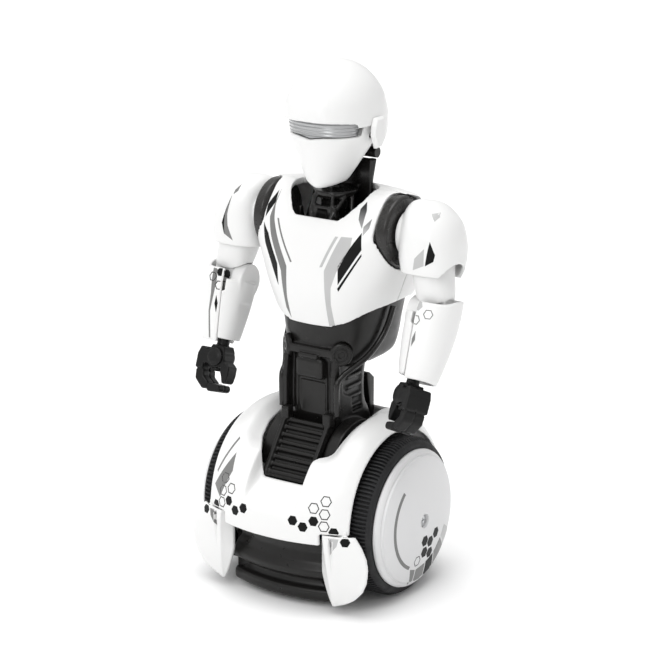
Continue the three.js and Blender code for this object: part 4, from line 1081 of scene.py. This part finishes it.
# ---- arms ---------------------------------------------------------------------------------
# each piece is drawn for the left arm hanging straight down, with its own joint at the origin
SHOULDER_ROWS = [(-21, -18.6, 13, 15.6, 2.5), (-12, -20.8, 14, 17.8, 2.5), (-2, -21.4, 13.2, 19, 2.4),
                 (7, -21.2, 10.4, 18, 2.3), (13, -20.4, 6, 15, 2.3), (17.4, -18, 0.6, 10.6, 2.2),
                 (19.2, -14.4, -3.4, 6.6, 2), (19.7, -10, -7.8, 2, 2)]
CAP_Y = 1.2
ELBOW_DROP = 42.4
WRIST_TWIST = {"left": -30, "right": 0}
CHEEK_RADIUS = 9.9
TONGUE = (-2.6, 4.6)
FOREARM_X = 2.6
GUARD_EDGE_X = -1.0
KNUCKLE = -8.5
FOREARM_ROWS = [(-37, 10.4, -9.6, 9.6, 2.4), (-27, 12.2, -11.4, 11, 2.4), (-13, 13.8, -13.6, 12.8, 2.4),
                (-1, 14.2, -15, 14, 2.3), (11, 13.6, -13.8, 13.4, 2.2), (18, 11.2, -11, 11, 2.2)]


def shoulder_loft(rows, inset, sides=96):
    rings = []
    for z, inner, outer, half, squareness in refine(rows, 6):
        middle = (inner + outer) / 2
        half_width = (outer - inner) / 2
        ring = level_ring(z, half_width, CAP_Y - half, CAP_Y + half, squareness, sides, inset, middle)
        rings.append(ring)
    return loft(rings)


def shoulder_cap():
    outer = shoulder_loft(SHOULDER_ROWS, 0)
    room = [(-22.6, *SHOULDER_ROWS[0][1:]), *SHOULDER_ROWS[1:5], (15.4, -18, 0.6, 10.6, 2.2)]
    inner = shoulder_loft(room, 2)
    arch_line = [(-11.4, -30), (-10.4, -20), (-7, -15), (-2, -12.8), (4, -12.8), (9.4, -15), (13, -20),
                 (14, -30)]
    arch = prism(curve(arch_line), "x", 2, 20)
    disc = turned("x", rounded([(0, -21), (12, -21), (13, -20), (13, -15.8), (0, -15.8)], 0.5), (0, 0), 96)
    spindle = rod("x", 6, -26.8, -17, (0, 0))
    cap = join(cut(outer, inner, arch), disc, spindle)
    return mould(cap)


def upper_arm():
    """A sleeve that narrows towards the elbow, with a tongue and an outer cheek for the hinge."""
    rows = [(-6, 9.6, -10, 12, -3.2), (-12, 10.4, -11.2, 12.8, -2.2), (-21, 10.8, -11.4, 12.4, -0.9),
            (-28, 10.8, -10.2, 11, 0.8), (-34, 10.2, -8.6, 9.2, 2), (-38.4, 9.8, -7.8, 8.8, 2.2)]
    sleeve = loft([level_ring(z, a, yf, yb, 2.4, 96, 0, xc) for z, a, yf, yb, xc in refine(rows)])
    cut(sleeve, rod("x", CHEEK_RADIUS + SEAM, -30, 30, (0, -ELBOW_DROP), 96),
        rod("x", 13.4, -26, -15.4, (0, 0)))
    tongue = join(rod("x", 6.4, *TONGUE, (0, -ELBOW_DROP)),
                  block(TONGUE[0], -6.4, -ELBOW_DROP, TONGUE[1], 6.4, -30))
    cheek = join(rod("x", 8, 7.4, 11, (0, -ELBOW_DROP), 96), block(7.4, -5, -ELBOW_DROP, 11, 5, -30))
    return mould(join(sleeve, tongue, cheek))


def forearm_core():
    """The inner half of the forearm: a rounded elbow block, a step and a slimmer wrist block."""
    full = level_loft(FOREARM_ROWS, 96, 0, FOREARM_X)
    filling_rows = [(-34, 10.4, -9.6, 9.6, 2.4), *FOREARM_ROWS[1:3], (-5, 14, -14.4, 13.4, 2.3)]
    filling = level_loft(filling_rows, 96, 2.6, FOREARM_X)
    inner_side = keep(full, block(-30, -30, -35, GUARD_EDGE_X - SEAM, 30, -1))
    step = prism([(-30, -36), (-9.6, -36), (-10.2, -14), (-10.6, -12.8), (-30, -12)], "y", -30, 30)
    cut(inner_side, step)
    cheeks = rod("x", CHEEK_RADIUS, -10.4, 7, (0, 0), 96)
    core = join(filling, inner_side, cheeks)
    cut(core, block(TONGUE[0] - SEAM, -30, -8, TONGUE[1] + SEAM, 30, 30),
        rod("x", 7.2, TONGUE[0] - SEAM, TONGUE[1] + SEAM, (0, 0)), rod("x", 10.3, 7.05, 20, (0, 0)),
        rod("z", 3.95, -38, -29.4, (0, 0)))
    return mould(core)


def forearm_guard():
    outer = level_loft(FOREARM_ROWS, 96, 0, FOREARM_X)
    inner_rows = [(-38, 10.4, -9.6, 9.6, 2.4), *FOREARM_ROWS[1:-1], (19, 11.2, -11, 11, 2.2)]
    inner = level_loft(inner_rows, 96, 1.9, FOREARM_X)
    slope = [(-30, 3.4), (-12.6, 4.8), (-4, 8.4), (0, 9.8), (14, 12.6), (30, 12.6)]
    top = prism(curve(slope, 5) + [(30, 30), (-30, 30)], "x", -30, 30)
    return mould(cut(outer, inner, top, block(-30, -30, -60, GUARD_EDGE_X, 30, 20)))


def palm():
    """The palm with its wrist stub and thumb."""
    outline = [(-5, KNUCKLE - 3), (4, KNUCKLE - 3), (4.4, -4), (3.2, -1.6), (-4, -1.6), (-5.6, -4.6)]
    hand = join(rod("z", 3.6, -3, 7.6, (0, 0)), rod("y", 6.2, -5.6, 5.6, (0, KNUCKLE)),
                prism(outline, "y", -5.6, 5.6))
    thumb_line = [(-4.4, -10.5), (-6, -9.6), (-10, -13), (-10, -17.6), (-9.2, -21.6), (-8, -22.9),
                  (-6.6, -22.4), (-5.6, -19), (-3.8, -15.4)]
    thumb = prism(thumb_line, "y", -4.6, 4.6)
    pad = block(-1.8, -4, -16.6, 2, 4, -14)
    groove = prism([(-9.6, -14.6), (-6.4, -12.6), (-6.1, -13.1), (-9.3, -15.1)], "y", -5, 5)
    cut(thumb, groove)
    bevelled(thumb, 0.7)
    return mould(join(hand, thumb, pad), HAND_VOXEL, 3)


def fingers():
    """Two fingers side by side on round straps that hinge on the knuckle."""
    near_line = [(6.8, -4), (9.6, -3.4), (11.4, -8), (11.4, -16.4), (5.8, -16.4), (6.8, -10)]
    middle_line = [(5.6, -16.9), (11.2, -16.9), (10.6, -22.6), (5, -27.6), (2.4, -27.4), (1.2, -23.4),
                   (5.2, -20.4)]
    tip_line = [(0.7, -23.6), (1.8, -27.6), (0.4, -28.6), (-6, -28.1), (-7.2, -26.4), (-6.4, -23.9)]
    segments = []
    for line, half in ((near_line, 7.4), (middle_line, 6.4), (tip_line, 6.4)):
        segments.append(bevelled(prism(line, "y", -half, half), 0.8))
    links = join(prism([(6.6, -15), (10.2, -15), (9.8, -19), (6.4, -19)], "y", -5.4, 5.4),
                 prism([(0, -24.4), (4, -24), (3.4, -27), (0, -27.2)], "y", -5.4, 5.4))
    hand = join(links, *segments)
    gap = [(5, -15), (13, -15), (13, -30), (-9, -30), (-9, -22), (1, -22)]
    cut(hand, prism(gap, "y", -0.35, 0.35))
    for low, high in ((-7.4, -6.0), (6.0, 7.4)):
        rim = [(0, low), (5.4, low), (5.4, high), (0, high)]
        strap = prism([(0, -5), (8, -4.6), (8, -13), (0, -12.6)], "y", low, high)
        join(hand, turned("y", rounded(rim, 0.5), (0, KNUCKLE), 72), strap)
    dome = rounded([(0, -8.0), (3.2, -7.9), (4.4, -7.3), (4.4, -7.0), (0, -7.0)], 0.3)
    join(hand, turned("y", dome, (0, KNUCKLE), 72))
    return mould(hand, HAND_VOXEL, 3)


def joint_place(name):
    return Vector(JOINTS[name]["pos_m"])


def pitch_between(upper, lower):
    """How far a limb leans forward of straight down, from the places of its two joints."""
    line = lower - upper
    return math.atan2(-line.y, -line.z)


def limb_matrix(place, pitch):
    return Matrix.Translation(place) @ Matrix.Rotation(-pitch, 4, "X")


def arms():
    pieces = {"cap": shoulder_cap(), "upper": upper_arm(), "core": forearm_core(), "guard": forearm_guard(),
              "palm": palm(), "fingers": fingers()}
    for side, sign in SIDES:
        shoulder, elbow, wrist = (joint_place(f"{name}_{side}") for name in ("shoulder", "elbow", "wrist"))
        upper_place = limb_matrix(shoulder, pitch_between(shoulder, elbow))
        lower_pitch = pitch_between(elbow, wrist)
        twist = Matrix.Rotation(math.radians(WRIST_TWIST[side]), 4, "Z")
        hand_place = limb_matrix(wrist, lower_pitch) @ twist
        places = {"cap": upper_place, "upper": upper_place, "core": limb_matrix(elbow, lower_pitch),
                  "guard": limb_matrix(elbow, lower_pitch), "palm": hand_place, "fingers": hand_place}
        looks = {"cap": (f"upper_arm_{side}", WHITE, f"shoulder_cap_{side}"),
                 "upper": (f"upper_arm_{side}", WHITE, f"upper_arm_{side}"),
                 # The forearm core's darker white is painted shade.
                 "core": (f"forearm_{side}", MATT_WHITE_PAINTED_SHADE, f"forearm_core_{side}"),
                 "guard": (f"forearm_{side}", WHITE, f"forearm_guard_{side}"),
                 "palm": (f"hand_{side}", HAND, f"palm_{side}"),
                 "fingers": (f"fingers_{side}", HAND, f"fingers_{side}")}
        for kind, piece in pieces.items():
            made = copy(piece) if sign > 0 else mirrored(piece)
            moved(made, places[kind])
            body, material, stands_for = looks[kind]
            finish_piece(made, f"arm_{kind}_{side}", body, material, [stands_for])
            if kind == "cap":
                cap_prints(side, surface_of(made), body)
            if kind == "guard":
                guard_prints(side, surface_of(made), body)
    for piece in pieces.values():
        discard(piece)


def cap_prints(side, surface, body):
    if side == "left":
        prints = [("quad", [(69.8, 207), (73.0, 200), (72.4, 196.4), (68.0, 193.6)], LOOK_BLACK),
                  ("shade", [(67.2, 203), (61.6, 197), (60.6, 190.4), (67.2, 193.6)], LOOK_SILVER),
                  ("notch", [(66, 220.4), (71.2, 220.4), (69.4, 216.8)], LOOK_SILVER)]
    else:
        prints = [("quad", [(-60.8, 215), (-62.6, 204.4), (-62.4, 198), (-59.4, 189.4), (-65.2, 192.8),
                            (-66.4, 199)], LOOK_GREY),
                  ("edge", [(-60.8, 215), (-64.2, 204.4), (-64.8, 198), (-64.8, 192.8),
                            (-66.4, 199)], LOOK_BLACK),
                  ("notch", [(-57.4, 221), (-57.8, 217.6), (-60.2, 215.6), (-59.9, 218)], LOOK_GREY)]
    for name, outline, look in prints:
        lift = 0.14 if name == "edge" else 0.07
        decal(f"print_cap_{name}_{side}", surface, filled(outline), *FRONT_VIEW, body, *look, lift=lift)


def guard_prints(side, surface, body):
    if side == "left":
        dots = [((65.8, -11.9, 172.1), LOOK_SILVER, False), ((66.2, -15.1, 165.1), LOOK_GREY, True),
                ((73.0, -13.5, 168.6), LOOK_GREY, True)]
        shapes = [("kite", [(67.6, 159.6), (68.2, 155), (66.4, 151.2), (66.2, 155.4)], LOOK_GREY)]
    else:
        dots = [((-66.6, -9.3, 170.4), LOOK_BLACK, False), ((-71.6, -10.6, 167.2), LOOK_BLACK, True),
                ((-66.4, -11.5, 163), LOOK_BLACK, True)]
        shapes = [("stripe", [(-72.4, 173.6), (-69, 171), (-68.4, 165.2), (-70.8, 148), (-68.8, 133),
                              (-69.8, 133), (-71.8, 148), (-71.4, 158)], LOOK_GREY),
                  ("kite", [(-67.5, 157.4), (-66.0, 153), (-66.6, 147.6), (-68.2, 152.6)], LOOK_BLACK)]
    for i, (centre, look, outlined) in enumerate(dots):
        name = f"print_guard_hex_{side}_{i}"
        hexagon_at(name, surface, centre, body, look, radius=2.9, outlined=outlined)
    for name, outline, look in shapes:
        decal(f"print_guard_{name}_{side}", surface, filled(outline), *FRONT_VIEW, body, *look)


# ---- pieces kept from the CAD part --------------------------------------------------------
KEPT = {"chassis_tray": BLACK, "battery_door": BLACK, "battery_door_screw": STEEL,
        "battery_cell_1": CELL, "battery_cell_2": CELL, "battery_cell_3": CELL,
        "drive_gearbox_left": GREY, "drive_gearbox_right": GREY,
        "circuit_board": BOARD, "speaker": BLACK, "power_switch": WHITE, "wheel_axle_left": STEEL,
        "wheel_axle_right": STEEL, "arm_gearbox": GREY, "head_core": BLACK}


def dress_kept_nodes():
    for name, material in KEPT.items():
        obj = frame["nodes"][name]
        obj.data.materials.clear()
        obj.data.materials.append(material)
        bevel = obj.modifiers.new("bevel", "BEVEL")
        bevel.width = 0.3 * MM
        bevel.segments = 2
        bevel.limit_method = "ANGLE"
        bevel.angle_limit = math.radians(35)
        obj.data.shade_smooth()
        obj.data.set_sharp_from_angle(angle=math.radians(38))


# ---- stage --------------------------------------------------------------------------------
def stage():
    mesh = bpy.data.meshes.new("floor")
    half = 6.0
    corners = [(-half, -half, 0), (half, -half, 0), (half, half, 0), (-half, half, 0)]
    mesh.from_pydata(corners, [], [(0, 1, 2, 3)])
    floor = bpy.data.objects.new("floor", mesh)
    bpy.context.scene.collection.objects.link(floor)
    floor.data.materials.append(moulded_material("floor", (0.93, 0.93, 0.93), 0.8, tone=0.004, grain=0.0))


def lamp(name, place, target, size, watts, colour=(1, 1, 1)):
    data = bpy.data.lights.new(name, "AREA")
    data.shape = "DISK"
    data.size = size
    data.energy = watts
    data.color = colour
    obj = bpy.data.objects.new(name, data)
    bpy.context.scene.collection.objects.link(obj)
    obj.location = place
    obj.rotation_euler = (Vector(target) - Vector(place)).to_track_quat("-Z", "Y").to_euler()


def lighting():
    """A studio dome, bright overhead and dim on the robot's left, with two soft lamps."""
    world = bpy.data.worlds.new("studio")
    world.use_nodes = True
    tree = world.node_tree
    background = tree.nodes["Background"]
    direction = node(tree, "ShaderNodeTexCoord", (-900, 0)).outputs["Generated"]
    lean = node(tree, "ShaderNodeVectorMath", (-700, 0), operation="DOT_PRODUCT")
    lean.inputs[1].default_value = (-0.35, -0.2, 0.9)
    tree.links.new(direction, lean.inputs[0])
    rise = spread(tree, lean.outputs["Value"], 0.32, 1.0, (-500, 0), -0.35, 0.9)
    tree.links.new(rise, background.inputs["Strength"])
    background.inputs["Color"].default_value = (1, 1, 1, 1)
    bpy.context.scene.world = world
    lamp("key", (0.1, -1.8, 1.3), (0, 0, 0.15), 0.9, 7.5)
    data = bpy.data.lights.new("overhead", "SUN")
    data.energy = 1.55
    data.angle = math.radians(48)
    overhead = bpy.data.objects.new("overhead", data)
    bpy.context.scene.collection.objects.link(overhead)


def camera():
    azimuth = math.radians(33.7)
    elevation = math.radians(16.76)
    distance = 1.3
    target = Vector((0, 0, 0.1449))
    back = Vector((math.sin(azimuth) * math.cos(elevation), -math.cos(azimuth) * math.cos(elevation),
                   math.sin(elevation)))
    data = bpy.data.cameras.new("camera")
    data.lens = 126.95
    data.sensor_width = 36
    data.shift_x = 0.00514
    data.clip_end = 50
    obj = bpy.data.objects.new("camera", data)
    bpy.context.scene.collection.objects.link(obj)
    obj.location = target + back * distance
    obj.rotation_euler = (-back).to_track_quat("-Z", "Y").to_euler()
    bpy.context.scene.camera = obj
    bpy.context.scene.view_settings.view_transform = "Standard"
    bpy.context.scene.view_settings.look = "None"


# ---- the whole robot ----------------------------------------------------------------------
camera()
lighting()
stage()
front_shell = shells()
skirts()
shell_prints(surface_of(front_shell, *[bpy.data.objects[f"base_skirt_{side}"] for side, _ in SIDES]))
bumpers()
wheels()
rollers()
waist()
torso_shells()
shoulder_sockets()
neck()
head()
arms()
dress_kept_nodes()
